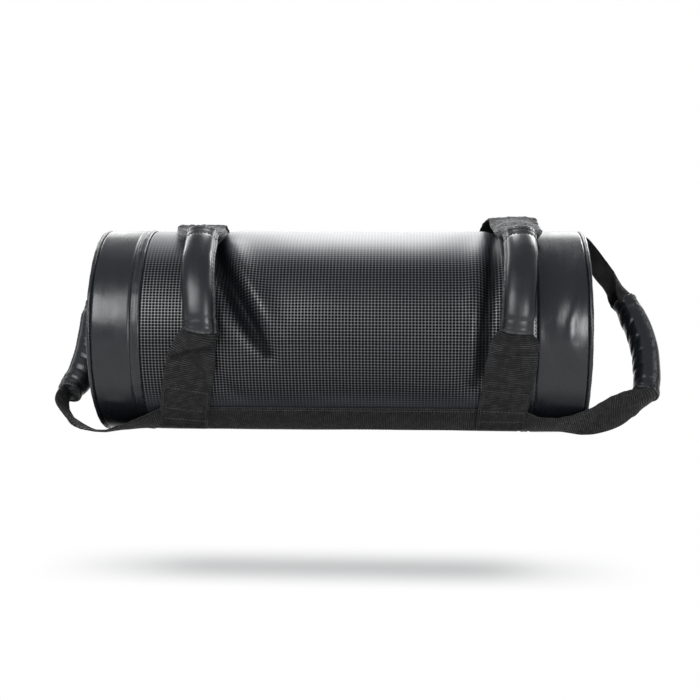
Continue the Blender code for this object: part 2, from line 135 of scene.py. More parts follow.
# Along the end handles: the share of the reach outwards, of the strips' radius along the pivots' line, and of
# the reach backwards
RIGHT_END_SHARES = [
    (0, 1, 0), (0.1, 1, 0), (0.3, 1.016, 0), (0.45, 1.005, 0), (0.62, 0.965, 0), (0.82, 0.875, 0),
    (0.95, 0.73, 0), (1, 0.4, 0), (0.985, 0.1, 0), (0.9, -0.17, 0), (0.8, -0.4, 0), (0.71, -0.57, 0),
    (0.61, -0.72, 0), (0.52, -0.86, 0), (0.42, -0.97, 0), (0.3, -1.016, 0), (0.1, -1, 0), (0, -1, 0),
]
LEFT_END_SHARES = [
    (0, 1, 0), (0.1, 1, 0), (0.3, 1.012, 0), (0.44, 0.995, 0), (0.59, 0.93, 0.04), (0.7, 0.82, 0.13),
    (0.74, 0.68, 0.21), (0.72, 0.54, 0.26), (0.645, 0.38, 0.275), (0.59, 0.1, 0.255), (0.57, -0.2, 0.23),
    (0.56, -0.48, 0.2), (0.56, -0.7, 0.15), (0.54, -0.88, 0.07), (0.45, -1.0, 0.01), (0.3, -1.02, 0),
    (0.1, -1, 0), (0, -1, 0),
]
LEFT_END_GRIP_START = 104 * MM
RIGHT_END_GRIP_START = 108 * MM

# Folds and dents of the skin: a line of (mm along X, degrees round the bag), its half width and height in mm
FOLDS = [
    ([(-131, 96), (-130, 76), (-126, 58), (-119, 46), (-109, 35),
      (-101, 25), (-93, 16), (-85, 8), (-78, 1), (-70, -6)], 9.2, -12.0),
    ([(-108, 62), (-99, 46), (-89, 34), (-78, 24), (-69, 13), (-60, 3), (-56, -5)], 10.0, 3.2),
    ([(-118, 22), (-110, 6), (-104, -8), (-104, -22)], 12.0, 2.0),
    ([(160, 96), (156, 74), (151, 42), (147, 23), (143, -2), (140, -16), (136, -24)], 6.6, -6.4),
    ([(146, 84), (137, 42), (133, 23), (130, 0)], 9.0, 1.6),
    ([(-126, -8), (-118, -22), (-100, -33)], 8.0, -1.6),
    ([(120, -10), (128, -24), (140, -34)], 8.0, -1.2),
    ([(-60, 5), (-20, 18), (30, 22)], 22.0, 0.9),
    ([(-40, -26), (20, -30), (80, -26)], 16.0, -0.9),
    ([(242, 50), (237, 34), (231, 22), (226, 11), (226, 1), (232, -8), (240, -13)], 9.5, 3.2),
    ([(204, 6), (212, -6), (222, -14), (234, -19), (244, -20)], 8.0, -1.3),
    ([(-222, 52), (-226, 24), (-220, -12), (-226, -30)], 16.0, -0.5),
    ([(-226, -20), (-222, -38)], 9.0, -0.9),
    ([(-108, 168), (-100, 196), (-88, 228)], 6.0, -2.4),
    ([(-96, 172), (-88, 198), (-78, 222)], 8.0, 1.3),
    ([(128, 162), (134, 190), (130, 224)], 7.0, -2.0),
    ([(118, 160), (122, 188), (118, 216)], 9.0, 1.1),
    ([(222, 150), (218, 190), (224, 230)], 11.0, -1.6),
    ([(-220, 158), (-224, 196), (-218, 236)], 11.0, -1.6),
    ([(-30, 96), (10, 104), (60, 100)], 18.0, -0.8),
]
# Slow waves over the whole skin: turns per metre along X, turns round the bag, height in mm and phase
WAVES = [
    (3.1, 2, 0.35, 0.4), (5.7, 3, 0.25, 1.9), (8.3, 5, 0.18, 4.1), (12.9, 4, 0.12, 2.7), (17.0, 9, 0.08, 5.5),
]
# Where the relief begins beside the strips and the rims, and over how far it comes in there
STRIP_CLEAR = 26 * MM
STRIP_FADE = 12 * MM
RIM_CLEAR = 4 * MM
RIM_FADE = 9 * MM
# How deep a fold is before painted shade dims its lattice, and over how much more it does
FOLD_SHADE_FROM = 0.9 * MM
FOLD_SHADE_FADE = 3.4 * MM
# How the skin is rolled in at its edges, drawn in by stitches and puckered beside them, each with its reach
EDGE_ROLL = 0.9 * MM
EDGE_ROLL_REACH = 1.1 * MM
# Over how far from the rolled edges the skin is pale, partly with wear and partly with painted highlight
EDGE_WEAR_AND_HIGHLIGHT_REACH = 1.0 * MM
STITCH_PULL = 0.3 * MM
STITCH_PULL_REACH = 1.0 * MM
PUCKER = 0.1 * MM
PUCKER_REACH = 7 * MM
# How high the round ends pucker by their seam, and the heights of their two kinds of dents
DISC_PUCKER = 0.55 * MM
DISC_DENTS = 0.9 * MM
DISC_SMALL_DENTS = 0.5 * MM
# How far inside the skin's wall the foam lies, past the usual gap
FOAM_CLEAR = 1.4 * MM
# The two rows of stitches in each hem strip: the place on X, and how far the thread stands over the skin
LEFT_HEM_ROWS = ((-204.4 * MM, 0.1 * MM), (-199.8 * MM, 0.45 * MM))
RIGHT_HEM_ROWS = ((188.4 * MM, 0), (193.2 * MM, -0.05 * MM))


class Value:
    """A socket of a material's nodes. Python's operators on it add Math nodes."""

    def __init__(self, look, socket):
        self.look = look
        self.socket = socket

    def math(self, operation, *others):
        return self.look.node("ShaderNodeMath", {"operation": operation}, (self, *others))

    def __add__(self, other):
        return self.math("ADD", other)

    def __sub__(self, other):
        return self.math("SUBTRACT", other)

    def __rsub__(self, other):
        return self.look.node("ShaderNodeMath", {"operation": "SUBTRACT"}, (other, self))

    def __mul__(self, other):
        return self.math("MULTIPLY", other)

    def __truediv__(self, other):
        return self.math("DIVIDE", other)

    __radd__ = __add__
    __rmul__ = __mul__

    def step(self, low, high):
        """0 at low and 1 at high, with a smooth climb between them."""
        settings = {"interpolation_type": "SMOOTHSTEP"}
        inputs = {"Value": self, "From Min": low, "From Max": high}
        return self.look.node("ShaderNodeMapRange", settings, inputs)


class Look:
    """The nodes of a material or of the world."""

    def __init__(self, owner):
        owner.use_nodes = True
        self.owner = owner
        self.tree = owner.node_tree
        self.tree.nodes.clear()

    def node(self, kind, settings=(), inputs=(), output=0):
        """Adds a node: its settings first, then a value or a link for each socket, by name or in order."""
        made = self.tree.nodes.new(kind)
        for key, value in dict(settings).items():
            setattr(made, key, value)
        pairs = inputs.items() if isinstance(inputs, dict) else enumerate(inputs)
        for key, value in pairs:
            if isinstance(value, Value):
                self.tree.links.new(value.socket, made.inputs[key])
            else:
                made.inputs[key].default_value = value
        return Value(self, made.outputs[output]) if made.outputs else None

    def split(self, place):
        """The X, Y and Z of a place."""
        parts = self.node("ShaderNodeSeparateXYZ", {}, (place,))
        return [Value(self, socket) for socket in parts.socket.node.outputs]

    def object_place(self):
        return self.node("ShaderNodeTexCoord", output="Object")

    def cloth_place(self):
        """The two lengths of a place on the cut cloth, in metres."""
        return self.split(self.node("ShaderNodeUVMap", {"uv_map": "cloth"}))[:2]

    def stretched(self, place, scales):
        return self.node("ShaderNodeVectorMath", {"operation": "MULTIPLY"}, (place, scales), "Vector")

    def attribute(self, name):
        return self.node("ShaderNodeAttribute", {"attribute_name": name}, output="Fac")

    def ray(self, kind):
        """1 for the rays of this kind, and 0 for others."""
        return self.node("ShaderNodeLightPath", output=f"Is {kind} Ray")

    def noise(self, place, scale, detail=2):
        return self.node("ShaderNodeTexNoise", {}, {"Vector": place, "Scale": scale, "Detail": detail})

    def mix(self, share, first, second):
        """A colour between two colours."""
        return self.node("ShaderNodeMix", {"data_type": "RGBA"}, {0: share, 6: first, 7: second}, 2)

    def bump(self, height):
        """A normal from a height in millimetres."""
        return self.node("ShaderNodeBump", {}, {"Strength": 1.0, "Distance": MM, "Height": height})

    def finish(self, **sockets):
        """Ends the material in a Principled shader. Sockets are named with _ for a space."""
        inputs = {key.replace("_", " "): value for key, value in sockets.items()}
        shader = self.node("ShaderNodeBsdfPrincipled", {}, inputs)
        self.node("ShaderNodeOutputMaterial", {}, {"Surface": shader})
        return self.owner


def shade(colour, strength):
    return (*(channel * strength for channel in colour), 1)


def known(name, make, *arguments):
    """The material of this name, made the first time it is asked for."""
    return bpy.data.materials.get(name) or make(name, *arguments)


def smooth_vinyl(name, colour):
    """Glossy coated cloth: pebble grain, faint waves, fingermarks in the gloss, and pale edges, partly rubbed
    and partly painted highlight.
    """
    look = Look(bpy.data.materials.new(name))
    place = look.object_place()
    pebbles = look.node("ShaderNodeTexVoronoi", {"feature": "SMOOTH_F1"},
                        {"Vector": place, "Scale": 900.0, "Smoothness": 0.5})
    fine = look.noise(place, 2300.0)
    waves = look.noise(place, 55.0, 3)
    streaks = look.noise(look.stretched(place, (1.0, 0.16, 0.16)), 130.0, 3)
    marks = look.noise(place, 21.0, 4).step(0.42, 0.68)
    wear = look.attribute("wear")
    rub_and_highlight = (wear * look.noise(place, 240.0, 3).step(0.3, 0.65)).math("MINIMUM", 1.0)
    # Pale tint on edges and seams: partly rubbed cloth, partly painted highlight
    tint = look.mix(rub_and_highlight * 0.7, shade(colour, 1), (0.13, 0.133, 0.138, 1))
    tint = look.mix(marks * 0.35, tint, shade(colour, 0.6))
    return look.finish(
        Base_Color=tint,
        Roughness=0.16 + marks * 0.09 + rub_and_highlight * 0.15 + fine * 0.05 + streaks * 0.16,
        Specular_IOR_Level=0.5,
        Normal=look.bump(pebbles * 0.025 + fine * 0.01 + waves * 0.25 + streaks * 0.17),
    )


def embossed_vinyl(name, colour, pitch_along, pitch_round):
    """Coated cloth pressed with a square grid of small pits, whose raised lattice is polished.

    The pits grow shallow towards the top and the underside of the bag, and painted shade dulls the lattice in
    deep folds. The pits are painted near black as shade, and the lattice's knots a pale blue as painted sheen;
    both show mostly round the middle height, where the front light catches the lattice.
    """
    look = Look(bpy.data.materials.new(name))
    place = look.object_place()
    cloth_along, cloth_round = look.cloth_place()
    along = cloth_along / pitch_along
    around_bag = cloth_round / pitch_round
    near_along = (along.math("FRACT") - 0.5).math("ABSOLUTE") * 2
    near_round = (around_bag.math("FRACT") - 0.5).math("ABSOLUTE") * 2
    height = look.split(place)[2]
    # Pit depth by height, so that the painted pit shade and knot sheen show mostly round the middle height
    depth = height.step(0.2, 0.172) * 0.85 * height.step(0.026, 0.056) + 0.15
    pit = (1 - near_along.math("MAXIMUM", near_round)).step(0.1, 0.44) * depth
    knots = (near_along * near_round).step(0.25, 0.8) * depth + (1 - depth) * 0.6
    twill = ((along + around_bag) * TURN).math("SINE") * 0.5 + 0.5
    # 1 outside the painted shade of deep folds
    outside_fold_shade = 1 - look.attribute("hollow")
    waves = look.noise(place, 40.0, 3)
    marks = look.noise(place, 17.0, 4).step(0.4, 0.7)
    wear = look.attribute("wear")
    # Painted sheen: the knots a pale blue outside deep folds
    tint = look.mix(knots * outside_fold_shade, shade(colour, 0.9), (0.034, 0.041, 0.053, 1))
    # Painted shade: the pits near black
    tint = look.mix(pit, tint, shade(colour, 0.08))
    # Pale edges: wear and painted highlight
    tint = look.mix(wear * 0.5, tint, shade(colour, 4))
    return look.finish(
        Base_Color=tint,
        Roughness=0.5 + pit * 0.3,
        Specular_IOR_Level=0.08,
        Coat_Weight=(1 - pit) * (0.5 + knots * 0.5) * (0.08 + outside_fold_shade * 0.92),
        Coat_Roughness=0.46,
        Coat_IOR=2.1,
        Normal=look.bump(waves * 0.25 + marks * 0.05 - pit * 0.3 + twill * 0.03 * depth),
    )


def ribbed_webbing(name, colour, rib_pitch):
    """Woven webbing: weft ribs as in the mesh, warp yarns that cross them, fibre shine, lint, painted shade and
    sheen.
    """
    look = Look(bpy.data.materials.new(name))
    place = look.object_place()
    across, cloth_along = look.cloth_place()
    along = cloth_along / rib_pitch
    rib = (along * math.pi).math("SINE").math("ABSOLUTE")
    slant = along.math("FRACT") * 0.5
    yarn_pitch = 1.1 * MM
    yarn = ((across / yarn_pitch + slant) * TURN).math("SINE") * 0.5 + 0.5
    fibres = look.noise(place, 1900.0, 3)
    clouds = look.noise(place, 35.0, 3)
    lint = look.noise(place, 620.0, 2).step(0.7, 0.78)
    wear = look.attribute("wear")
    worn_lit_ribs = look.noise(place, 150.0, 2).step(0.4, 0.62)
    # Painted shade in the grooves between the ribs, and lighter rib crests
    tint = look.mix(rib.step(0.4, 0.98), shade(colour, 0.05), shade(colour, 1.2))
    # Rib crests lightened in patches: rubbing and painted highlight
    tint = look.mix(rib.step(0.8, 1.0) * worn_lit_ribs * yarn, tint, shade(colour, 8))
    tint = look.mix(clouds * 0.5, tint, shade(colour, 0.7))
    # Pale fuzz where the webbing is loose: painted sheen of a grazing light, with a frayed texture
    fray = look.noise(place, 520.0, 4).step(0.36, 0.66)
    sheen_nap = wear * fibres.step(0.15, 0.6) * (0.35 + fray * 0.65) * (0.15 + rib.step(0.3, 1.0) * 0.85)
    tint = look.mix((lint * 0.15 + sheen_nap).math("MINIMUM", 1.0), tint, shade(colour, 30))
    return look.finish(
        Base_Color=tint,
        Roughness=0.6 + fibres * 0.25 - yarn * 0.06,
        Specular_IOR_Level=0.22,
        Sheen_Weight=0.07,
        Sheen_Roughness=0.35,
        Normal=look.bump(yarn * 0.12 + fibres * 0.08 + rib * 0.15),
    )


def sewing_thread(name, colour):
    """Bonded thread with its twist."""
    look = Look(bpy.data.materials.new(name))
    place = look.object_place()
    twist = look.node("ShaderNodeTexWave", {"bands_direction": "DIAGONAL"}, {"Vector": place, "Scale": 700.0})
    fibres = look.noise(place, 2500.0, 2)
    tint = look.mix(fibres, shade(colour, 0.7), shade(colour, 1.5))
    return look.finish(
        Base_Color=tint, Roughness=0.42 + fibres * 0.2, Normal=look.bump(twist * 0.06 + fibres * 0.03),
    )


def soft_foam(name, colour):
    """Open foam with small pores, painted darker inside as shade."""
    look = Look(bpy.data.materials.new(name))
    place = look.object_place()
    pores = look.node("ShaderNodeTexVoronoi", {"feature": "F1"}, {"Vector": place, "Scale": 700.0})
    open_pores = pores.step(0.15, 0.5)
    tint = look.mix(open_pores, shade(colour, 0.45), shade(colour, 1.05))
    return look.finish(
        Base_Color=tint, Roughness=0.9 + pores * 0.05, Normal=look.bump(open_pores * 0.4),
    )


def sack_canvas(name, colour):
    """Plain woven cloth."""
    look = Look(bpy.data.materials.new(name))
    place = look.object_place()
    along, _, up = look.split(place)
    yarn_pitch = 1.2 * MM
    weave = (along * (TURN / yarn_pitch)).math("SINE") * (up * (TURN / yarn_pitch)).math("SINE") * 0.5 + 0.5
    slubs = look.noise(place, 260.0, 3)
    tint = look.mix(weave * 0.6 + slubs * 0.3, shade(colour, 0.6), shade(colour, 1.1))
    return look.finish(
        Base_Color=tint, Roughness=0.85 + slubs * 0.1, Normal=look.bump(weave * 0.2 + slubs * 0.1),
    )


def dry_sand(name, colour):
    """Grains of several shades."""
    look = Look(bpy.data.materials.new(name))
    place = look.object_place()
    grains = look.node("ShaderNodeTexVoronoi", {"feature": "F1"}, {"Vector": place, "Scale": 1500.0})
    clumps = look.noise(place, 120.0, 4)
    tint = look.mix(grains * 1.2, shade(colour, 1.15), shade(colour, 0.5))
    tint = look.mix(clumps * 0.4, tint, shade(colour, 0.8))
    return look.finish(
        Base_Color=tint, Roughness=0.9 + clumps * 0.08, Normal=look.bump(grains * 0.5 + clumps * 0.6),
    )


def colour_of(context, name):
    return tuple(getattr(context.scene.sandbag_colours, name))


def vinyl_of(context):
    return known("smooth vinyl coat", smooth_vinyl, colour_of(context, "vinyl"))


def webbing_of(context):
    pitch = context.scene.sandbag_sizes.rib_pitch
    return known("ribbed black webbing", ribbed_webbing, colour_of(context, "webbing"), pitch)


def thread_of(context):
    return known("bonded thread", sewing_thread, colour_of(context, "thread"))


def foam_of(context):
    return known("grey foam", soft_foam, colour_of(context, "foam"))


# Meshes
def add_piece(name, mesh, material):
    """Puts a mesh into the scene as a smooth piece of this material."""
    mesh.shade_smooth()
    mesh.materials.append(material)
    piece = bpy.data.objects.new(name, mesh)
    bpy.context.scene.collection.objects.link(piece)
    return piece


def surface(name, grid, material, cloth=None, wear=None, hollow=None, round_rows=False, poles=()):
    """A mesh on a grid of points.

    Neighbours in rows and columns share a face. Each row joins its last point to its first, and rows that go
    round join the last row to the first. poles are the middles of the fans that close the first and the last
    row. The faces are turned outwards, which is where the volume they enclose is positive. cloth gives the
    place of each point on the cut cloth, in metres, with one row or column more where the grid goes round.
    """
    rows, columns = grid.shape[:2]
    points = grid.reshape(-1, 3)
    i = np.arange(rows if round_rows else rows - 1)[:, None]
    j = np.arange(columns)[None, :]
    corners = [(i, j), (i, j + 1), (i + 1, j + 1), (i + 1, j)]
    quads = np.stack([(a % rows) * columns + b % columns for a, b in corners], axis=-1).reshape(-1, 4)
    faces = quads.tolist()
    if len(poles):
        ring = np.arange(columns)
        after = (ring + 1) % columns
        first, last = len(points), len(points) + 1
        points = np.concatenate([points, np.array(poles, float)])
        base = (rows - 1) * columns
        faces += np.stack([ring, np.full(columns, first), after], axis=1).tolist()
        faces += np.stack([base + ring, base + after, np.full(columns, last)], axis=1).tolist()
    mesh = bpy.data.meshes.new(name)
    mesh.from_pydata(points.tolist(), [], faces)
    if cloth is not None:
        wide = cloth.shape[1]
        places = np.stack([np.broadcast_to(a * wide + b, (len(i), j.shape[1])) for a, b in corners], axis=-1)
        flat = cloth.reshape(-1, 2)[places.reshape(-1)]
        values = np.zeros((len(mesh.loops), 2))
        values[: len(flat)] = flat
        layer = mesh.uv_layers.new(name="cloth")
        layer.data.foreach_set("uv", values.astype(np.float32).ravel())
    # The first attribute marks pale wear that is partly painted highlight and sheen; the second marks painted
    # shade in deep folds
    for key, shares in (("wear", wear), ("hollow", hollow)):
        if shares is not None:
            values = np.zeros(len(points), np.float32)
            values[: shares.size] = shares.ravel()
            mesh.attributes.new(key, "FLOAT", "POINT").data.foreach_set("value", values)
    triangles = np.concatenate([quads[:, :3], quads[:, [0, 2, 3]]])
    a, b, c = (points[triangles[:, k]] for k in range(3))
    if np.einsum("ij,ij->", a, np.cross(b, c)) < 0:
        mesh.flip_normals()
    return add_piece(name, mesh, material)


def all_round(count):
    """Angles spaced evenly over a whole turn."""
    return np.linspace(0, TURN, count, endpoint=False)


def around(radius, angle):
    """Y and Z of a place at this angle and distance from the bag's axis."""
    return -radius * np.cos(angle), AXIS_HEIGHT + radius * np.sin(angle)


def pressed_flat(radius, angle, floor):
    """A radius that ends at a level plane this far under the axis."""
    down = np.maximum(-np.sin(angle), 1e-6)
    return np.minimum(radius, floor / down)


def smooth_step(share):
    share = np.clip(share, 0, 1)
    return share * share * (3 - 2 * share)


def bell(apart, width):
    """A bell curve, 1 where apart is 0."""
    return np.exp(-((apart / width) ** 2))


def turn_between(angle, other):
    """The turn from one angle to another, from minus half a turn to half a turn."""
    return (angle - other + math.pi) % TURN - math.pi


def line_distance(x, arc, line):
    """How far each place is from a broken line on the unrolled skin, and how far along the line it lies."""
    best = np.full(x.shape, 1e9)
    share = np.zeros(x.shape)
    for k in range(len(line) - 1):
        start, way = line[k], line[k + 1] - line[k]
        t = np.clip(((x - start[0]) * way[0] + (arc - start[1]) * way[1]) / (way @ way), 0, 1)
        distance = np.hypot(x - start[0] - t * way[0], arc - start[1] - t * way[1])
        nearer = distance < best
        best = np.where(nearer, distance, best)
        share = np.where(nearer, (k + t) / (len(line) - 1), share)
    return best, share


def skin_relief(x, angle):
    """How far the skin stands off its cylinder.

    A sum of slow waves, sines along the bag times sines round it, and of folds, each a bell curve of the
    distance from its line that fades towards the line's ends. It fades out beside the strips and at the rims.
    """
    relief = np.zeros(x.shape)
    for along, turns, height, phase in WAVES:
        relief += height * MM * np.sin(TURN * along * x + phase) * np.sin(turns * angle + 2.3 * phase)
    for line, width, height in FOLDS:
        places = np.array([(a * MM, math.radians(b) * BAG_RADIUS) for a, b in line])
        for lap in (-TURN, 0, TURN):
            distance, share = line_distance(x, (angle + lap) * BAG_RADIUS, places)
            ends = 0.35 + 0.65 * np.sin(math.pi * np.clip(share, 0.02, 0.98))
            relief += height * MM * ends * bell(distance, width * MM)
    for strip in (STRIP_ANGLE, STRIP_ANGLE + math.pi):
        apart = np.abs(turn_between(angle, strip)) * BAG_RADIUS
        relief *= smooth_step((apart - STRIP_CLEAR) / STRIP_FADE)
    return relief * smooth_step((HALF_LENGTH - RIM_CLEAR - np.abs(x)) / RIM_FADE)


def skin_radius(x, angle):
    return pressed_flat(BAG_RADIUS + skin_relief(x, angle), angle, AXIS_HEIGHT)


def edge_places(start, end, spacing):
    """Places from start to end that crowd together near both, where an edge is rolled."""
    close = np.array([0, 0.35, 0.75, 1.2, 1.8, 2.6, 3.6]) * MM
    inner = np.linspace(start + close[-1], end - close[-1], max(2, round((end - start) / spacing)))
    return np.concatenate([start + close[:-1], inner, end - close[:-1][::-1]])


def skin_piece(name, node, material, raised, rows, wall, spacing):
    """A ring of the skin with its outer and inner walls, whose edges are rolled in.

    raised gives the height over the cylinder at the two ends, with a straight line between, and rows the rows
    of stitches that draw the surface in.
    """
    low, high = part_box(node)
    x = edge_places(low[0], high[0], spacing)
    angle = all_round(SKIN_COLUMNS)
    grid_x, grid_angle = np.meshgrid(x, angle, indexing="ij")
    lean = raised[0] + (raised[1] - raised[0]) * (grid_x - x[0]) / (x[-1] - x[0])
    edge = np.minimum(grid_x - x[0], x[-1] - grid_x)
    roll = -EDGE_ROLL * bell(edge, EDGE_ROLL_REACH)
    pull = np.zeros(grid_x.shape)
    for place, _ in rows:
        tension = 1 + 0.2 * np.sin(grid_angle * 29 + place * 900)
        puckers = np.sin(grid_angle * 37 + 1.3) * np.sin(grid_angle * 13 + place * 70)
        pull -= STITCH_PULL * bell(grid_x - place, STITCH_PULL_REACH) * tension
        pull += PUCKER * bell(grid_x - place, PUCKER_REACH) * puckers
    relief = skin_relief(grid_x, grid_angle)
    outer = BAG_RADIUS + relief + lean + pull
    outer_radius = pressed_flat(outer + roll, grid_angle, AXIS_HEIGHT)
    inner_radius = pressed_flat(outer - wall, grid_angle, AXIS_HEIGHT - wall)
    radius = np.concatenate([outer_radius, inner_radius[::-1]])
    grid_x = np.concatenate([grid_x, grid_x[::-1]])
    y, z = around(radius, np.concatenate([grid_angle, grid_angle]))
    # Pale rolled edges: wear and painted highlight
    wear_highlight = bell(edge, EDGE_WEAR_AND_HIGHLIGHT_REACH) * 0.15
    wear_highlight = np.concatenate([wear_highlight, np.zeros(wear_highlight.shape)])
    # Painted shade in deep folds, which dims the panel's lattice
    deep = smooth_step((-relief - FOLD_SHADE_FROM) / FOLD_SHADE_FADE)
    laps = np.append(angle, TURN) * BAG_RADIUS
    cloth_x, cloth_y = np.meshgrid(np.append(np.concatenate([x, x[::-1]]), x[0]), laps, indexing="ij")
    cloth = np.stack([cloth_x, cloth_y], axis=-1)
    deep = np.concatenate([deep, deep[::-1]])
    piece = surface(name, np.stack([grid_x, y, z], axis=-1), material, cloth, wear_highlight, deep, round_rows=True)
    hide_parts(node)
    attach(piece, "bag")
    return piece


def welt(name, node, side, material):
    """The piping round a rim: a small circle carried round the bag's outline, pinched by each stitch."""
    angle = all_round(WELT_ROWS)[:, None]
    section = all_round(WELT_COLUMNS)[None, :]
    pinch = 1 - 0.05 * np.cos(angle * 168) - 0.05 * np.sin(angle * 13 + side) - 0.04 * np.sin(angle * 37)
    tube = PIPING_RADIUS * pinch
    middle = pressed_flat(BAG_RADIUS + PIPING_PROUD - PIPING_RADIUS, angle, AXIS_HEIGHT - PIPING_RADIUS)
    radius = middle + tube * np.cos(section)
    y, z = around(radius, angle + 0 * section)
    x = side * (HALF_LENGTH - PIPING_RADIUS) + tube * np.sin(section)
    # Pale on the piping's outer crest: painted highlight, with a little wear
    wear = 0.15 * np.clip(np.cos(section), 0, 1) ** 4 * (0.6 + 0.4 * np.sin(angle * 11 + side))
    piece = surface(name, np.stack([x, y, z], axis=-1), material, wear=wear, round_rows=True)
    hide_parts(node)
    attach(piece, "bag")
    return piece


def end_face(name, node, side, material):
    """A round end: a crowned sheet, x = crown * (1 - share squared), puckered where it is sewn."""
    shares = np.concatenate([np.linspace(0.03, 0.86, 30), np.linspace(0.88, 1, 12)])
    share, turn = np.meshgrid(shares, all_round(DISC_COLUMNS), indexing="ij")
    edge = pressed_flat(BAG_RADIUS - DISC_INSET, turn, AXIS_HEIGHT - DISC_INSET - PIPING_PROUD)
    near = smooth_step((share - 0.55) / 0.4) * (1 - smooth_step((share - 0.985) / 0.015))
    pucker = np.sin(turn * 41 + side) * np.sin(turn * 17 + 1.1) + 0.5 * np.sin(turn * 67 + 2 * side)
    pucker = DISC_PUCKER * pucker * near
    dents = DISC_DENTS * np.sin(turn * 3 + side) * np.sin(math.pi * share) * share
    dents += DISC_SMALL_DENTS * np.sin(turn * 5 + 2) * np.sin(TURN * share) * share
    outer_x = HALF_LENGTH - PIPING_RADIUS + DISC_CROWN * (1 - share**2) + pucker + dents
    y, z = around(edge * share, turn)
    outer = np.stack([side * outer_x, y, z], axis=-1)
    inner = np.stack([side * (outer_x - DISC_WALL), y, z], axis=-1)
    grid = np.concatenate([outer, inner[::-1]])
    tip = HALF_LENGTH - PIPING_RADIUS + DISC_CROWN
    poles = [(side * tip, 0, AXIS_HEIGHT), (side * (tip - DISC_WALL), 0, AXIS_HEIGHT)]
    # Pale round the rim: wear and painted highlight
    wear_highlight = bell(1 - share, 0.03) * 0.6
    cloth = np.stack([y, z], axis=-1)
    cloth = np.concatenate([cloth, cloth[::-1]])
    cloth = np.concatenate([cloth, cloth[:, :1]], axis=1)
    piece = surface(name, grid, material, cloth, np.concatenate([wear_highlight, wear_highlight[::-1]]), poles=poles)
    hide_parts(node)
    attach(piece, "bag")
    return piece


def foam_layer(name, node, material, wall):
    """The foam round the filling: it follows the skin from inside and has a round bore."""
    low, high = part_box(node)
    x = np.linspace(low[0], high[0], FOAM_ROWS)
    grid_x, grid_angle = np.meshgrid(x, all_round(FOAM_COLUMNS), indexing="ij")
    depth = wall + GAP + FOAM_CLEAR
    outer = BAG_RADIUS + skin_relief(grid_x, grid_angle) - depth
    outer = pressed_flat(outer, grid_angle, AXIS_HEIGHT - depth)
    radius = np.concatenate([outer, np.full(outer.shape, FOAM_BORE)])
    y, z = around(radius, np.concatenate([grid_angle, grid_angle]))
    grid_x = np.concatenate([grid_x, grid_x[::-1]])
    piece = surface(name, np.stack([grid_x, y, z], axis=-1), material, round_rows=True)
    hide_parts(node)
    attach(piece, "bag")
    return piece


# Routes of the webbing
def smooth_through(points):
    """Many points on a smooth curve through these (Catmull-Rom: a cubic from each point to the next)."""
    points = np.array(points, float)
    before, after = 2 * points[:1] - points[1:2], 2 * points[-1:] - points[-2:-1]
    p = np.concatenate([before, points, after])
    steps = np.linspace(0, len(points) - 1, ROUTE_POINTS)
    k = np.minimum(steps.astype(int), len(points) - 2)
    t = (steps - k)[:, None]
    a, b, c, d = p[k], p[k + 1], p[k + 2], p[k + 3]
    return 0.5 * (2 * b + (c - a) * t + (2 * a - 5 * b + 4 * c - d) * t**2 + (3 * b - a - 3 * c + d) * t**3)


def unit(vectors):
    return vectors / np.linalg.norm(vectors, axis=-1, keepdims=True)


def run_along(points):
    """The distance of each of these points along the line through them."""
    return np.concatenate([[0], np.cumsum(np.linalg.norm(np.diff(points, axis=0), axis=1))])


def read_rows(distance, along, rows):
    """Points or directions read between rows, whose distances are along."""
    return np.stack([np.interp(distance, along, rows[:, k]) for k in range(3)], axis=-1)


class Route:
    """A curve read by distance along it, which goes straight on past its ends.

    width is the direction across the webbing that it carries.
    """

    def __init__(self, points, width):
        self.points = points
        self.along = run_along(points)
        self.length = self.along[-1]
        self.tangents = unit(np.gradient(points, axis=0))
        self.width = np.array(width, float)

    def read(self, distance):
        """The points, and the directions along, across and outwards, at these distances."""
        distance = np.asarray(distance, float)
        held = np.clip(distance, 0, self.length)
        point = read_rows(held, self.along, self.points)
        tangent = unit(read_rows(held, self.along, self.tangents))
        across = unit(self.width - tangent * (tangent @ self.width)[..., None])
        return point + tangent * (distance - held)[..., None], tangent, across, np.cross(tangent, across)


def end_route(side, shares):
    """The route of an end handle, from the front strip to the rear one."""
    chord = np.array([0, -math.cos(STRIP_ANGLE), math.sin(STRIP_ANGLE)])
    back = np.array([0, -math.sin(STRIP_ANGLE), -math.cos(STRIP_ANGLE)])
    out = np.array([side, 0, 0])
    centre = np.array([side * END_PIVOT_X, 0, AXIS_HEIGHT])
    reach, along, behind = smooth_through(shares).T[:, :, None]
    points = centre + (out * reach + back * behind) * END_REACH + chord * along * STRIP_RADIUS
    return Route(points, -side * back)


def strip_route(angle, half_length):
    """The route of a strip along the bag, from its left end."""
    ends = np.array([[end, *around(STRIP_RADIUS, angle)] for end in (-half_length, half_length)])
    return Route(ends, (0, math.sin(angle), math.cos(angle)))


def front_route(x, shares):
    """The route of a handle across the bag, from its lower patch to its upper one, and distances along it."""
    degrees, lift, sway = smooth_through(shares).T
    angle = np.radians(degrees)
    y, z = around(PATCH_RADIUS + FRONT_LIFT * lift, angle)
    route = Route(np.stack([x + FRONT_SWAY * sway, y, z], axis=1), (-1, 0, 0))
    return route, lambda degrees: float(np.interp(math.radians(degrees), angle, route.along))


LEFT_END = end_route(-1, LEFT_END_SHARES)
RIGHT_END = end_route(1, RIGHT_END_SHARES)
LEFT_FRONT, left_at = front_route(LEFT_FRONT_X, LEFT_FRONT_SHARES)
RIGHT_FRONT, right_at = front_route(RIGHT_FRONT_X, RIGHT_FRONT_SHARES)
LEFT_FRONT_GRIP = left_at(FRONT_GRIP_DEGREES)
RIGHT_FRONT_GRIP = right_at(FRONT_GRIP_DEGREES)


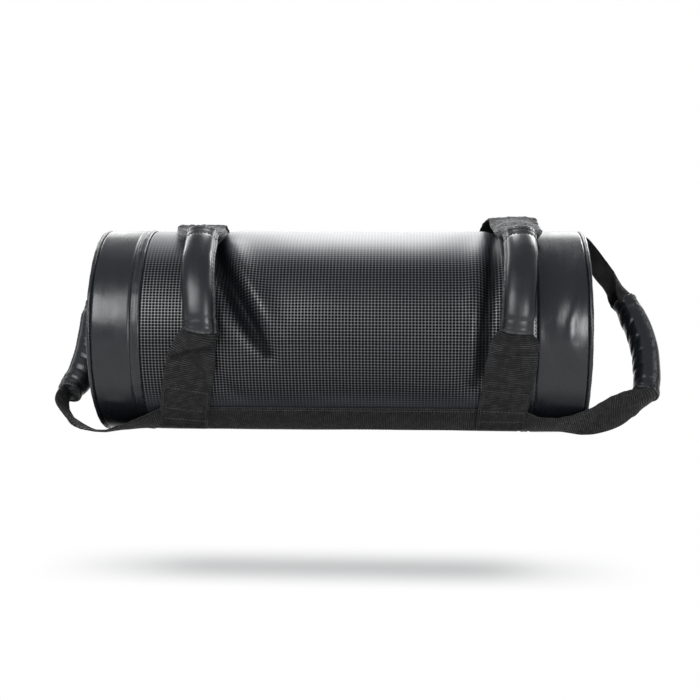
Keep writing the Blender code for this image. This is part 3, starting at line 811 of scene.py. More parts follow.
# Webbing
# Over how far the turned under ends, the crumpling and the pale nap of painted sheen come in, and how far that
# nap reaches and fades
DOUBLED_FADE = 2 * MM
LOOSE_FADE = 10 * MM
SHEEN_NAP_FADE_IN = 10 * MM
SHEEN_NAP_REACH = 66 * MM
SHEEN_NAP_FADE_OUT = 38 * MM
# How far the webbing reaches into its grip
MOUTH_REACH = 0.9 * MOUTH_DEPTH
# Beside the pivots: how far before and after them a place is read off the route, which nothing uses, and
# where the webbing begins to be loose
BEND_BEFORE = 20 * MM
END_BEND_AFTER = 22 * MM
FRONT_BEND_AFTER = 20 * MM
END_LOOSE_FROM = 30 * MM
FRONT_LOOSE_BEFORE = 16 * MM
# How far before the mouths of the grips it stops being loose
END_LOOSE_TO = 6 * MM
FRONT_LOOSE_TO = 4 * MM
# Where before the mouths the cross handles' webbing is pleated, over how far, and how high below and above
PLEATS_BEFORE = 7 * MM
PLEATS_REACH = 9 * MM
LOWER_PLEATS = 0.9 * MM
UPPER_PLEATS = 0.6 * MM
# The fold before the front mouths of the end handles: its distance from the mouth, slant, width and height
END_FOLD_BEFORE = 27 * MM
END_FOLD = (7 * MM, 3.6 * MM, -0.6 * MM, 0)


def strap_points(route, distance, share, bend, lift, spread, height, twist=0, held=-1):
    """Places on webbing whose cross-section is an arc.

    share runs from -1 to 1 across the width. bend is half the angle of the arc, whose edges turn towards the
    bag, lift its height over the route, spread what its size is multiplied by, and height the distance from
    the middle of the webbing. twist turns the section about the edge where the share is held, -1 or 1.
    """
    point, _, across, normal = route.read(distance)
    bend = np.where(np.abs(bend) < 1e-4, 1e-4, bend)
    turn = bend * share
    radius = WEBBING_WIDTH / 2 / bend
    sideways = radius * np.sin(turn) * spread + height * np.sin(turn)
    upwards = lift - radius * (1 - np.cos(turn)) * spread + height * np.cos(turn)
    edge = held * WEBBING_WIDTH / 2
    swung = edge + (sideways - edge) * np.cos(twist) - upwards * np.sin(twist)
    upwards = (sideways - edge) * np.sin(twist) + upwards * np.cos(twist)
    return point + across * swung[..., None] + normal * upwards[..., None]


def crumple(distance, share, seed, rough):
    """Soft waves in loose webbing, and finer ones where it is rough: sines along it and across it."""
    a = np.sin(distance * 210 + 3 * share + seed)
    b = np.sin(distance * 130 - 2.1 * share + 2 * seed)
    c = np.sin(distance * 610 + 4.3 * share + 3 * seed) * np.sin(6.1 * share + 90 * distance + seed)
    d = np.sin(distance * 390 - 7.7 * share) * np.sin(11 * share - 160 * distance + 2 * seed)
    return MM * (0.35 * a * np.cos(2.2 * share + seed) + 0.45 * b + rough * (0.75 * c + 0.8 * d))


def strap(name, route, start, end, shape, material, rib_pitch, phase=0, seed=0, folds=(), flaps=(),
          loose=None, doubled=None, twists=((0, 0),), held=-1, rough=0, pleats=None, sheen_nap_on=False):
    """Webbing along a route, with its weft ribs, from one distance to another.

    shape is a table of (distance, bend, lift, spread), and twists one of (distance, degrees). Ribs are |sin|
    waves along the webbing on both faces, and the edges thin out like a woven selvedge: half thickness times
    sqrt(1 - share**12). folds are (distance, slant, width, height, side) bell curves of the distance from a
    slanting line, and flaps (distance, slant, rise, reach, height) steps at one that sink back over their
    reach. loose is the stretch that crumples, doubled the one where the end is turned under, and pleats are
    waves across the webbing at (distance, reach, height). phase shifts the ribs, so that they run on from one
    piece to the next. Webbing can have a pale fuzz of painted sheen where it begins to be loose.
    """
    rows = np.linspace(start, end, max(8, round((end - start) / (rib_pitch / 4))))
    even = np.linspace(-1, 1, STRAP_COLUMNS)
    columns = 0.45 * np.sin(even * math.pi / 2) + 0.55 * even
    table = np.array(shape, float)
    distance, share = np.meshgrid(rows, columns, indexing="ij")
    bend, lift, spread = (np.interp(distance, table[:, 0], table[:, k]) for k in (1, 2, 3))
    half = WEBBING_HALF + RIB_HEIGHT * np.abs(np.sin(math.pi * (distance + phase) / rib_pitch))
    if doubled:
        rise, fall = (distance - doubled[0]) / DOUBLED_FADE, (doubled[1] - distance) / DOUBLED_FADE
        half = half + DOUBLED_HALF * smooth_step(rise) * smooth_step(fall)
    half = half * np.sqrt(np.clip(1 - np.abs(share) ** 12, 0.01, 1))
    move = np.zeros(distance.shape)
    if loose:
        rise, fall = (distance - loose[0]) / LOOSE_FADE, (loose[1] - distance) / LOOSE_FADE
        move += crumple(distance, share, seed, rough) * smooth_step(rise) * smooth_step(fall)
    if pleats:
        place, reach, height = pleats
        move += height * np.sin(8.5 * share + seed) * bell(distance - place, reach) * (1 - share**6)
    # Pale edges: rubbing and painted highlight
    wear_highlight = 0.05 * np.clip((np.abs(share) - 0.9) / 0.1, 0, 1)
    # Pale fuzz of painted sheen where the webbing begins to be loose
    if sheen_nap_on:
        rise = (distance - loose[0]) / SHEEN_NAP_FADE_IN
        fall = (loose[0] + SHEEN_NAP_REACH - distance) / SHEEN_NAP_FADE_OUT
        wear_highlight += 1.1 * smooth_step(rise) * smooth_step(fall)
    for place, slant, rise, reach, height in flaps:
        apart = distance - place + share * slant
        move += height * smooth_step(apart / rise) * bell(np.maximum(apart, 0), reach)
    for place, slant, width, height, side in folds:
        fold = bell(distance - place + share * slant, width)
        fold = fold * (1 if side == 0 else smooth_step(0.5 + side * share * 2))
        move += height * fold
        if height > 0:
            # Raised folds a little pale: rubbing and painted highlight
            wear_highlight += 0.05 * fold
    turned = np.array(twists, float)
    twist = np.radians(np.interp(distance, turned[:, 0], turned[:, 1]))
    top = strap_points(route, distance, share, bend, lift, spread, move + half, twist, held)
    bottom = strap_points(route, distance, share, bend, lift, spread, move - half, twist, held)
    grid = np.concatenate([top, bottom[:, ::-1]], axis=1)
    flat = np.stack([share * WEBBING_WIDTH / 2, distance + phase], axis=-1)
    cloth = np.concatenate([flat, flat[:, ::-1], flat[:, :1]], axis=1)
    wear = np.concatenate([wear_highlight, wear_highlight[:, ::-1]], axis=1)
    poles = [grid[0].mean(axis=0), grid[-1].mean(axis=0)]
    return surface(name, grid, material, cloth, wear, poles=poles)


def bag_strip(name, node, angle, material, rib_pitch):
    """The webbing sewn along the bag: an arc that hugs it, carried along X."""
    route = strip_route(angle, STRIP_END_X)
    shape = [(0, STRIP_HUG, 0, 1), (route.length, STRIP_HUG, 0, 1)]
    piece = strap(name, route, 0, route.length, shape, material, rib_pitch, phase=-STRIP_END_X)
    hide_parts(node)
    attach(piece, "bag")
    return piece


# The end handles: their side of the bag, their route and where the grip starts along it
END_HANDLES = {
    "left": (-1, LEFT_END, LEFT_END_GRIP_START),
    "right": (1, RIGHT_END, RIGHT_END_GRIP_START),
}
# How their webbing turns away from the bag in front: the distance from the pivot in metres, and degrees
END_TWISTS = {
    "left": (
        (-0.04, 0), (-0.02, -12), (0, -22), (0.022, -27), (0.04, -24), (0.056, -12), (0.074, -2), (0.086, 0),
    ),
    "right": (
        (-0.036, 0), (-0.018, 10), (0, 11), (0.014, 6), (0.028, -4), (0.045, -13), (0.062, -18), (0.08, -18),
        (0.096, -10), (0.108, 0),
    ),
}
# How it gathers at the mouths of their grips: the distance before the mouth, and the bend, lift and size of
# its section
END_GATHERS = {
    ("left", "front"): [
        (44 * MM, -0.05, 0, 1), (30 * MM, -0.2, 0, 0.97), (18 * MM, -0.45, 0, 0.86),
        (7 * MM, -0.75, 0, 0.64), (0, -0.85, 0, 0.56), (-6 * MM, -0.9, 0, 0.5),
    ],
    ("left", "rear"): [
        (38 * MM, 0.1, 0, 1), (26 * MM, 0.4, 1.2 * MM, 1), (13 * MM, 1.2, 5 * MM, 0.96),
        (4 * MM, 1.95, 8.6 * MM, 0.9), (-6 * MM, 2.2, 8.6 * MM, 0.85),
    ],
    ("right", "front"): [
        (34 * MM, 0.1, 0, 1), (20 * MM, 0.25, 1 * MM, 1), (9 * MM, 0.5, 4 * MM, 0.95),
        (0, 0.8, 10.5 * MM, 0.84), (-5 * MM, 0.95, 12.5 * MM, 0.8),
    ],
    ("right", "rear"): [
        (38 * MM, 0.05, 0, 1), (26 * MM, 0.25, 1 * MM, 1), (13 * MM, 0.95, 4.6 * MM, 1),
        (3 * MM, 1.85, 9 * MM, 1.06), (-6 * MM, 2.2, 10 * MM, 1.05),
    ],
}


def end_half(end, part, material, rib_pitch):
    """The front or the rear half of an end handle's webbing, from the end of its strip into its grip."""
    side, route, start = END_HANDLES[end]
    first = part == "front"
    sign = 1 if first else -1
    pivot = 0 if first else route.length
    mouth = start if first else start + GRIP_LENGTH
    butt = pivot + sign * (STRIP_END_X - END_PIVOT_X)
    free = pivot + sign * END_LOOSE_FROM
    shape = [
        (butt, STRIP_HUG, 0, 1), (pivot - sign * 2 * MM, STRIP_HUG, 0, 1), (free, 0.02, 0, 1),
        *((mouth - sign * before, *section) for before, *section in END_GATHERS[end, part]),
    ]
    piece = strap(
        f"{end}_end_{part}_strap", route, *sorted([butt, mouth + sign * MOUTH_REACH]), sorted(shape),
        material, rib_pitch,
        phase=END_PIVOT_X if first else -(route.length + END_PIVOT_X),
        seed=1.7 * side + first,
        folds=[(mouth - sign * END_FOLD_BEFORE, *END_FOLD)] if first else (),
        loose=sorted([free, mouth - sign * END_LOOSE_TO]),
        twists=END_TWISTS[end] if first else ((0, 0),),
        held=-side,
    )
    turn_at = route.read(np.array([pivot - sign * BEND_BEFORE, pivot + sign * END_BEND_AFTER]))[0]
    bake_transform(piece)
    return piece


# The handles across the bag: their route, the distance along it at an angle, where the grip starts and a seed
FRONT_HANDLES = {
    "left_front": (LEFT_FRONT, left_at, LEFT_FRONT_GRIP, 10),
    "right_front": (RIGHT_FRONT, right_at, RIGHT_FRONT_GRIP, 11),
}
# How their webbing gathers to go into the grips: the distance before the mouth, and the bend, lift and size
# of its section
GATHERS = {
    ("left_front", "lower"): [
        (38 * MM, 0.03, 0, 0.99), (24 * MM, 0.35, 0.8 * MM, 0.89), (11 * MM, 0.85, 2.6 * MM, 0.86),
        (3 * MM, 1.5, 6.2 * MM, 0.92), (0, 1.75, 7.6 * MM, 0.93),
    ],
    ("right_front", "lower"): [
        (34 * MM, 0.04, 0, 1), (20 * MM, 0.36, 0.8 * MM, 0.99), (10 * MM, 0.85, 3 * MM, 0.96),
        (1 * MM, 1.7, 7.2 * MM, 0.93),
    ],
    ("left_front", "upper"): [
        (84 * MM, 0.02, 0, 1), (72 * MM, 0.04, -2.4 * MM, 1), (56 * MM, 0.06, -4.2 * MM, 1),
        (38 * MM, 0.1, -4.2 * MM, 1), (24 * MM, 0.2, -3 * MM, 1.02), (12 * MM, 0.4, 0, 1),
        (6 * MM, 0.95, 2.4 * MM, 0.93), (2 * MM, 1.55, 4.4 * MM, 0.95),
    ],
    ("right_front", "upper"): [
        (62 * MM, 0.1, 0, 1), (40 * MM, 0.6, 0.8 * MM, 1.04), (22 * MM, 0.55, 2.2 * MM, 1.02),
        (13 * MM, 0.5, 3.2 * MM, 1), (7 * MM, 0.95, 4.8 * MM, 0.95), (3 * MM, 1.55, 6.4 * MM, 0.95),
    ],
}
# Folds across their webbing, as strap has them
CREASES = {
    ("left_front", "lower"): [
        (left_at(-8), 12 * MM, 2.4 * MM, -1.2 * MM, 0), (left_at(-24), -5 * MM, 1.6 * MM, -0.5 * MM, 0),
    ],
    ("left_front", "upper"): [
        (left_at(76), 6 * MM, 2.8 * MM, -1.4 * MM, 0), (left_at(82), -7 * MM, 3.4 * MM, 1.4 * MM, 0),
        (left_at(91), 5 * MM, 3 * MM, -1.2 * MM, 0), (left_at(70), -4 * MM, 2.6 * MM, 1.1 * MM, 0),
    ],
    ("right_front", "lower"): [
        (right_at(-4.6), 1 * MM, 2.2 * MM, -1.6 * MM, -1), (right_at(-1), 2 * MM, 2.8 * MM, 1.1 * MM, -1),
        (right_at(-22), -4 * MM, 1.8 * MM, -0.5 * MM, 0),
    ],
    ("right_front", "upper"): [
        (right_at(78), 4 * MM, 2.6 * MM, -1.0 * MM, 0), (right_at(84), -6 * MM, 3.0 * MM, 1.0 * MM, 0),
    ],
}
# Folds of their webbing that lie over, as strap has its flaps
FLAPS = {
    ("left_front", "lower"): [(left_at(-2), 17 * MM, 1.2 * MM, 15 * MM, 5.4 * MM)],
    ("right_front", "lower"): [(right_at(-5.5), 3 * MM, 2.5 * MM, 14 * MM, 1.6 * MM)],
}
# How far in degrees the turned under ends of their webbing reach
LOWER_END_TO = -49
UPPER_END_FROM = 133


def front_half(name, part, material, rib_pitch):
    """The lower or the upper half of a cross handle's webbing, from its patch into its grip."""
    route, at, start, seed = FRONT_HANDLES[name]
    lower = part == "lower"
    sign = 1 if lower else -1
    mouth = start if lower else start + GRIP_LENGTH
    pivot = at(FRONT_LOW_DEGREES if lower else FRONT_HIGH_DEGREES)
    edge = 0 if lower else route.length
    shape = [
        (edge, 0.01, 0, 1), *((mouth - sign * before, *section) for before, *section in GATHERS[name, part]),
        (mouth + sign * MOUTH_DEPTH, 1.9, 8.2 * MM, 0.93),
    ]
    piece = strap(
        f"{name}_{part}_strap", route, *sorted([edge, mouth + sign * MOUTH_REACH]), sorted(shape),
        material, rib_pitch,
        seed=seed + 2 * lower,
        folds=CREASES[name, part],
        flaps=FLAPS.get((name, part), ()),
        loose=sorted([pivot - sign * FRONT_LOOSE_BEFORE, mouth - sign * FRONT_LOOSE_TO]),
        doubled=(-5 * MM, at(LOWER_END_TO)) if lower else (at(UPPER_END_FROM), route.length + 5 * MM),
        rough=0.25 if lower else 0.8,
        pleats=(mouth - sign * PLEATS_BEFORE, PLEATS_REACH, LOWER_PLEATS if lower else UPPER_PLEATS),
        sheen_nap_on=not lower,
    )
    turn_at = route.read(np.array([pivot - sign * BEND_BEFORE, pivot + sign * FRONT_BEND_AFTER]))[0]
    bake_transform(piece)
    return piece


# Grips
# The cover of a grip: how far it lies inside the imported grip, its swell, the draw of its hems' stitches, the
# flare to its lips, its standing seam and the valley beside it, its dents, its ripples and the lips' beads
COVER_TRIM = 0.4 * MM
COVER_SWELL = 0.1 * MM
HEM_DRAW = 0.55 * MM
LIP_FLARE = 0.6 * MM
SEAM_HEIGHT = 1.6 * MM
VALLEY_DEPTH = 0.45 * MM
COVER_DENTS = 0.3 * MM
COVER_SMALL_DENTS = 0.13 * MM
COVER_RIPPLE = 0.1 * MM
LIP_BEAD = 0.5 * MM
# Over how far the hems' stitches draw it in, the ends flare and the middle swells, and the beads' places from
# the lips and their half widths
HEM_DRAW_REACH = 2.2 * MM
LIP_FLARE_REACH = 9 * MM
COVER_SWELL_REACH = 16 * MM
FIRST_BEAD = (1.0 * MM, 0.8 * MM)
SECOND_BEAD = (3.9 * MM, 0.9 * MM)
# In radians: the half widths of the standing seam, the valley and the ripples, and the valley's place
SEAM_TURN = 0.085
VALLEY_TURN = 0.1
VALLEY_AT_TURN = 0.24
RIPPLE_TURN = 0.35
# Over how far each lip narrows its grip
FIRST_LIP_REACH = 16 * MM
LAST_LIP_REACH = 22 * MM
# Creases on the hollow side of the grips: the share of the length, the slant in mm a radian, the half width
# in mm and the depth in mm
WRINKLES = [
    (0.22, 3, 2.6, 0.7), (0.34, 9, 1.7, 0.6), (0.45, 12, 2.9, 0.9), (0.52, 6, 1.3, 0.4), (0.63, 14, 2.1, 0.8),
    (0.77, 8, 2.7, 0.6),
]


class Grip:
    """The shape of a padded grip.

    It starts at a distance along its route. fin is the angle of its standing seam and wrinkled that of its
    inner side, and lips are how much of its size it keeps at its two ends.
    """

    def __init__(self, route, start, half_height, fin, wrinkled, lips, seed):
        self.route = route
        self.start = start
        self.end = start + GRIP_LENGTH
        self.half_height = half_height
        self.fin = fin
        self.wrinkled = wrinkled
        self.lips = lips
        self.seed = seed

    def section(self, distance, turn):
        """Half width and half height, and how far the cover stands off that ellipse.

        The grip swells between its hems, which are drawn in by a row of stitches and flare to the lips. The
        cover has a standing seam, long soft dents, and slanting wrinkles on the inner side.
        """
        seed = self.seed
        inside = distance - self.start
        near = np.minimum(inside, GRIP_LENGTH - inside)
        flare = smooth_step((LIP_FLARE_REACH - near) / LIP_FLARE_REACH)
        swell = smooth_step((near - GRIP_HEM) / COVER_SWELL_REACH)
        drawn = HEM_DRAW * bell(near - GRIP_HEM, HEM_DRAW_REACH)
        trim = -COVER_TRIM + COVER_SWELL * swell - drawn + LIP_FLARE * flare
        seam = np.abs(turn_between(turn, self.fin))
        offset = SEAM_HEIGHT * bell(seam, SEAM_TURN) - VALLEY_DEPTH * bell(seam - VALLEY_AT_TURN, VALLEY_TURN)
        offset = offset + COVER_DENTS * np.sin(distance * 70 + seed) * np.sin(turn + seed)
        offset = offset + COVER_SMALL_DENTS * np.sin(distance * 210 + 2 * seed + turn)
        apart = turn_between(turn, self.wrinkled)
        inner = smooth_step((1.35 - np.abs(apart)) / 0.9)
        for share, slant, width, height in WRINKLES:
            line = inside - GRIP_LENGTH * share - slant * MM * apart * math.cos(seed)
            crease = bell(line, width * MM) - 0.6 * bell(line - 2.1 * width * MM, 1.5 * width * MM)
            offset = offset - height * MM * crease * inner * swell
        ripple = np.sin(distance * 1250 + seed) * bell(seam, RIPPLE_TURN)
        bead = bell(near - FIRST_BEAD[0], FIRST_BEAD[1]) + 0.8 * bell(near - SECOND_BEAD[0], SECOND_BEAD[1])
        offset = offset + COVER_RIPPLE * ripple + LIP_BEAD * bead
        return GRIP_HALF_WIDTH + trim, self.half_height + trim, offset

    def points(self, distance, turn, half_width, half_height):
        """Places on a squared ellipse, |cos|**0.86 and |sin|**0.86, that is smaller towards the lips."""
        first = 1 - (1 - self.lips[0]) * smooth_step(1 - (distance - self.start) / FIRST_LIP_REACH)
        last = 1 - (1 - self.lips[1]) * smooth_step(1 - (self.end - distance) / LAST_LIP_REACH)
        point, _, across, normal = self.route.read(distance)
        sideways = half_width * np.sign(np.cos(turn)) * np.abs(np.cos(turn)) ** 0.86 * first * last
        upwards = half_height * np.sign(np.sin(turn)) * np.abs(np.sin(turn)) ** 0.86 * first * last
        return point + across * sideways[..., None] + normal * upwards[..., None]


GRIPS = {
    "left_front": Grip(
        LEFT_FRONT, LEFT_FRONT_GRIP, FRONT_GRIP_HALF, math.pi - 0.1, 1.6 * math.pi,
        lips=(1, 1), seed=0.7),
    "right_front": Grip(
        RIGHT_FRONT, RIGHT_FRONT_GRIP, FRONT_GRIP_HALF, 0.1, 1.6 * math.pi,
        lips=(0.95, 1), seed=2.1),
    "left_end": Grip(
        LEFT_END, LEFT_END_GRIP_START, END_GRIP_HALF, 0.6 * math.pi, 1.12 * math.pi,
        lips=(0.82, 0.8), seed=3.9),
    "right_end": Grip(
        RIGHT_END, RIGHT_END_GRIP_START, END_GRIP_HALF, 0.42, 1.55 * math.pi,
        lips=(0.96, 0.86), seed=5.6),
}


def grip_cover(name, grip, material):
    """A padded grip: a swelling ellipse carried along the route, turned in at its lips and filled by foam.

    Each ring lies square to the route. An inset runs from 0 on the cover round each lip and over the foam's
    swollen end to its middle.
    """
    lip = np.linspace(0, math.pi / 2, 5)[1:]
    lip_along = LIP_RADIUS * (1 - np.sin(lip))
    lip_inset = LIP_RADIUS * (1 - np.cos(lip))
    foam_along = np.array([0.9, 0.7, 0.1, -0.7]) * MM
    foam_inset = np.array([1.7, 2.6, 4.6, 7.5]) * MM
    body = np.linspace(grip.start + LIP_RADIUS, grip.end - LIP_RADIUS, GRIP_ROWS)
    rows = np.concatenate([
        grip.start + foam_along[::-1], grip.start + lip_along[::-1], body, grip.end - lip_along,
        grip.end - foam_along,
    ])
    inset = np.concatenate([foam_inset[::-1], lip_inset[::-1], 0 * body, lip_inset, foam_inset])
    distance, turn = np.meshgrid(rows, all_round(GRIP_COLUMNS), indexing="ij")
    deep = inset[:, None] + 0 * turn
    half_width, half_height, offset = grip.section(distance, turn)
    offset = offset * (deep < 1 * MM)
    grid = grip.points(distance, turn, half_width - deep + offset, half_height - deep + offset)
    near = np.minimum(distance - grip.start, grip.end - distance)
    # Painted highlights on the lips and along the standing seam, carried by the pale wear mask
    wear = 0.9 * bell(near, 2 * MM) + bell(turn_between(turn, grip.fin), 0.13)
    poles = [grip.route.read(rows[0])[0], grip.route.read(rows[-1])[0]]
    piece = surface(f"{name}_grip", grid, material, wear=wear, poles=poles)
    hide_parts(f"{name}_sleeve", f"{name}_foam")
    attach(piece, f"{name}_handle")
    return piece


# Thread
def stitches(centres, ways, normals, length, radius):
    """Points and faces of stitches: bent capsules whose ends dip under the surface that they sit on.

    Along each stitch, t from -1 to 1: the middle line is centre + way * t * length / 2, less normal * radius
    times 1.3 * t**4 - 0.35, and its radius is radius * sqrt(1.02 - t**8).
    """
    t = np.array([-1, -0.8, -0.35, 0.35, 0.8, 1])
    corners = 6
    turn = all_round(corners)
    sides = np.cross(ways, normals)
    thick = radius * np.sqrt(np.clip(1.02 - t**8, 0.05, 1))
    middle = (centres[:, None] + ways[:, None] * (t * length / 2)[None, :, None]
              - normals[:, None] * (1.3 * radius * t**4 - 0.35 * radius)[None, :, None])
    ring = (sides[:, None, None] * np.cos(turn)[None, None, :, None]
            + normals[:, None, None] * np.sin(turn)[None, None, :, None])
    points = middle[:, :, None] + ring * thick[None, :, None, None]
    base = (np.arange(len(centres)) * len(t) * corners)[:, None, None]
    here = base + np.arange(len(t) - 1)[None, :, None] * corners
    j = np.arange(corners)
    after = (j + 1) % corners
    quads = np.stack([here + j, here + after, here + corners + after, here + corners + j], axis=-1)
    caps = np.concatenate([base[:, 0] + j[::-1], base[:, 0] + (len(t) - 1) * corners + j])
    return points.reshape(-1, 3), quads.reshape(-1, 4), caps


def along_row(points, normals, pitch):
    """Places a pitch apart along a row, with the way of the row and the normal there."""
    run = run_along(points)
    at = np.arange(pitch / 2, run[-1] - pitch / 2, pitch)
    centre = read_rows(at, run, points)
    normal = unit(read_rows(at, run, normals))
    way = unit(read_rows(at + 0.4 * pitch, run, points) - read_rows(at - 0.4 * pitch, run, points))
    return centre, unit(way - normal * np.einsum("ij,ij->i", way, normal)[:, None]), normal


def thread_piece(name, rows, body, material, sizes):
    """All the stitches of some rows as one piece. A row is its points and the normals there."""
    parts = [along_row(points, normals, sizes.stitch_pitch) for points, normals in rows]
    centres, ways, normals = (np.concatenate([part[k] for part in parts]) for k in range(3))
    points, quads, caps = stitches(centres, ways, normals, sizes.stitch_length, sizes.thread_width / 2)
    mesh = bpy.data.meshes.new(name)
    mesh.from_pydata(points.tolist(), [], quads.tolist() + caps.tolist())
    a, b, c = (points[quads[:, k]] for k in range(3))
    if np.einsum("ij,ij->", a - a.mean(axis=0), np.cross(b - a, c - a)) < 0:
        mesh.flip_normals()
    piece = add_piece(name, mesh, material)
    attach(piece, body)
    return piece


# Rows of stitches: how far in radians the ones round the bag stop short of the middle of its resting flat, at
# how many places they are read and how few make a stretch, how high the thread lies, and where in degrees the
# strips cover them
ROUND_ROW_SHORT = 0.2
ROUND_ROW_PLACES = 700
FEWEST_PLACES = 12
STRIP_THREAD_HEIGHT = 1.0 * MM
PATCH_THREAD_HEIGHT = 1.15 * MM
COVER_THREAD_HEIGHT = 0.1 * MM
UNDER_STRIPS = ((-70, -38.5), (110, 141.5))
# Stitches on the strips: the share of the half width where their long rows lie, and for each strip its angle,
# the stretches of its long rows along X, and the places of the bars across it
STRIP_SEAM_SHARE = 0.86
STRIP_SEAMS = (
    (STRIP_ANGLE, ((-137 * MM, 138 * MM),), ()),
    (STRIP_ANGLE + math.pi, ((-208 * MM, -197 * MM), (-137 * MM, 138 * MM), (196 * MM, 208 * MM)),
     (-207 * MM, -196 * MM, 197 * MM, 207 * MM)),
)
# Stitches on the patches, in the same way: degrees round the bag, and how high the thread of each bar lies
PATCH_SEAM_SHARE = 0.88
PATCH_ROWS = ((-59.5, -27), (116, 140.5))
PATCH_BARS = (
    (-59.5, 1.3 * MM), (-50, 1.3 * MM), (-41, 1.0 * MM), (-27, 1.0 * MM), (116, 1.0 * MM), (131.5, 1.3 * MM),
    (140.5, 1.3 * MM),
)


def round_row(x, height):
    """A row of stitches round the bag at a place on X, in stretches that leave out what the strips cover.

    It stops short of the flat that the bag rests on.
    """
    angle = np.linspace(-math.pi / 2 + ROUND_ROW_SHORT, 1.5 * math.pi - ROUND_ROW_SHORT, ROUND_ROW_PLACES)
    covered = np.zeros(angle.shape, bool)
    for low, high in UNDER_STRIPS:
        covered |= (angle > math.radians(low)) & (angle < math.radians(high))
    rows = []
    for part in np.split(np.arange(len(angle)), np.nonzero(np.diff(covered.astype(int)))[0] + 1):
        if covered[part[0]] or len(part) < FEWEST_PLACES:
            continue
        a = angle[part]
        places = np.full(a.shape, x)
        y, z = around(skin_radius(places, a) + height, a)
        normal = np.stack([0 * a, -np.cos(a), np.sin(a)], axis=-1)
        rows.append((np.stack([places, y, z], axis=-1), normal))
    return rows


def strap_row(route, start, end, height, count=60, bend=0.01):
    """A row of stitches on webbing between two (distance, share across) places."""
    distance = np.linspace(start[0], end[0], count)
    share = np.linspace(start[1], end[1], count)
    flat = np.zeros(count)
    section = flat + bend, flat, flat + 1
    points = strap_points(route, distance, share, *section, flat + height)
    above = strap_points(route, distance, share, *section, flat + height + 1 * MM)
    return points, unit(above - points)


def hem_rows():
    """The rows of stitches round the bag in its two hem strips."""
    return [row for x, height in LEFT_HEM_ROWS + RIGHT_HEM_ROWS for row in round_row(x, height)]


def strip_rows():
    """The stitches that hold the strips to the bag: two long rows, and bars where the end handles begin."""
    rows = []
    edge = STRIP_SEAM_SHARE
    for angle, stretches, bars in STRIP_SEAMS:
        route = strip_route(angle, HALF_LENGTH)
        for share in (-edge, edge):
            for low, high in stretches:
                ends = (HALF_LENGTH + low, share), (HALF_LENGTH + high, share)
                rows.append(strap_row(route, *ends, STRIP_THREAD_HEIGHT, count=400, bend=STRIP_HUG))
        for x in bars:
            ends = (HALF_LENGTH + x, -edge), (HALF_LENGTH + x, edge)
            rows.append(strap_row(route, *ends, STRIP_THREAD_HEIGHT, bend=STRIP_HUG))
    return rows


def patch_rows():
    """The stitches that hold the ends of the cross handles: rectangles with a bar across them."""
    rows = []
    edge = PATCH_SEAM_SHARE
    for route, at, _, _ in FRONT_HANDLES.values():
        for low, high in PATCH_ROWS:
            for share in (-edge, edge):
                rows.append(strap_row(route, (at(low), share), (at(high), share), PATCH_THREAD_HEIGHT))
        for degrees, height in PATCH_BARS:
            rows.append(strap_row(route, (at(degrees), -edge), (at(degrees), edge), height))
    return rows


def grip_rows(grip):
    """The stitches of a grip: round its lips and hems, and along the foot of the standing seam."""
    turn = np.linspace(0, TURN, 130)
    near_lip = 2.6 * MM
    places = (grip.start + near_lip, grip.end - near_lip, grip.start + GRIP_HEM, grip.end - GRIP_HEM)
    lines = [(np.full(turn.shape, place), turn) for place in places]
    along = np.linspace(grip.start + 4 * MM, grip.end - 4 * MM, 200)
    lines.append((along, np.full(along.shape, grip.fin + 0.2)))
    rows = []
    for distance, turn in lines:
        half_width, half_height, offset = grip.section(distance, turn)
        _, _, across, normal = grip.route.read(distance)
        leaning = (np.cos(turn) / half_width)[:, None], (np.sin(turn) / half_height)[:, None]
        out = unit(across * leaning[0] + normal * leaning[1])
        place = grip.points(distance, turn, half_width + offset, half_height + offset)
        rows.append((place + out * COVER_THREAD_HEIGHT, out))
    return rows


class SandbagSizes(bpy.types.PropertyGroup):
    skin_wall: bpy.props.FloatProperty(
        name="Skin", description="Thickness of the coated cloth", default=1.2 * MM, unit="LENGTH")
    grid_along: bpy.props.FloatProperty(
        name="Pits along", description="Pitch of the pits along the bag", default=3.3 * MM, unit="LENGTH")
    grid_round: bpy.props.FloatProperty(
        name="Pits round", description="Pitch of the pits round the bag", default=3.0 * MM, unit="LENGTH")
    rib_pitch: bpy.props.FloatProperty(
        name="Ribs", description="Pitch of the ribs of the webbing", default=2.1 * MM, unit="LENGTH")
    thread_width: bpy.props.FloatProperty(
        name="Thread", description="Width of the sewing thread", default=0.75 * MM, unit="LENGTH")
    stitch_length: bpy.props.FloatProperty(
        name="Stitch", description="Length of thread seen in each stitch", default=2.6 * MM, unit="LENGTH")
    stitch_pitch: bpy.props.FloatProperty(
        name="Stitch pitch", description="From one stitch to the next", default=3.5 * MM, unit="LENGTH")


class SandbagColours(bpy.types.PropertyGroup):
    vinyl: bpy.props.FloatVectorProperty(
        name="Vinyl", description="Colour of the cloth", default=(0.0085, 0.0098, 0.0125), subtype="COLOR")
    webbing: bpy.props.FloatVectorProperty(
        name="Webbing", description="Colour of the webbing", default=(0.0125, 0.0125, 0.013), subtype="COLOR")
    thread: bpy.props.FloatVectorProperty(
        name="Thread", description="Colour of the thread", default=(0.03, 0.03, 0.033), subtype="COLOR")
    foam: bpy.props.FloatVectorProperty(
        name="Foam", description="Colour of the foam", default=(0.3, 0.3, 0.31), subtype="COLOR")
    canvas: bpy.props.FloatVectorProperty(
        name="Sack", description="Colour of the liner sack", default=(0.5, 0.47, 0.4), subtype="COLOR")
    sand: bpy.props.FloatVectorProperty(
        name="Sand", description="Colour of the sand", default=(0.55, 0.43, 0.28), subtype="COLOR")


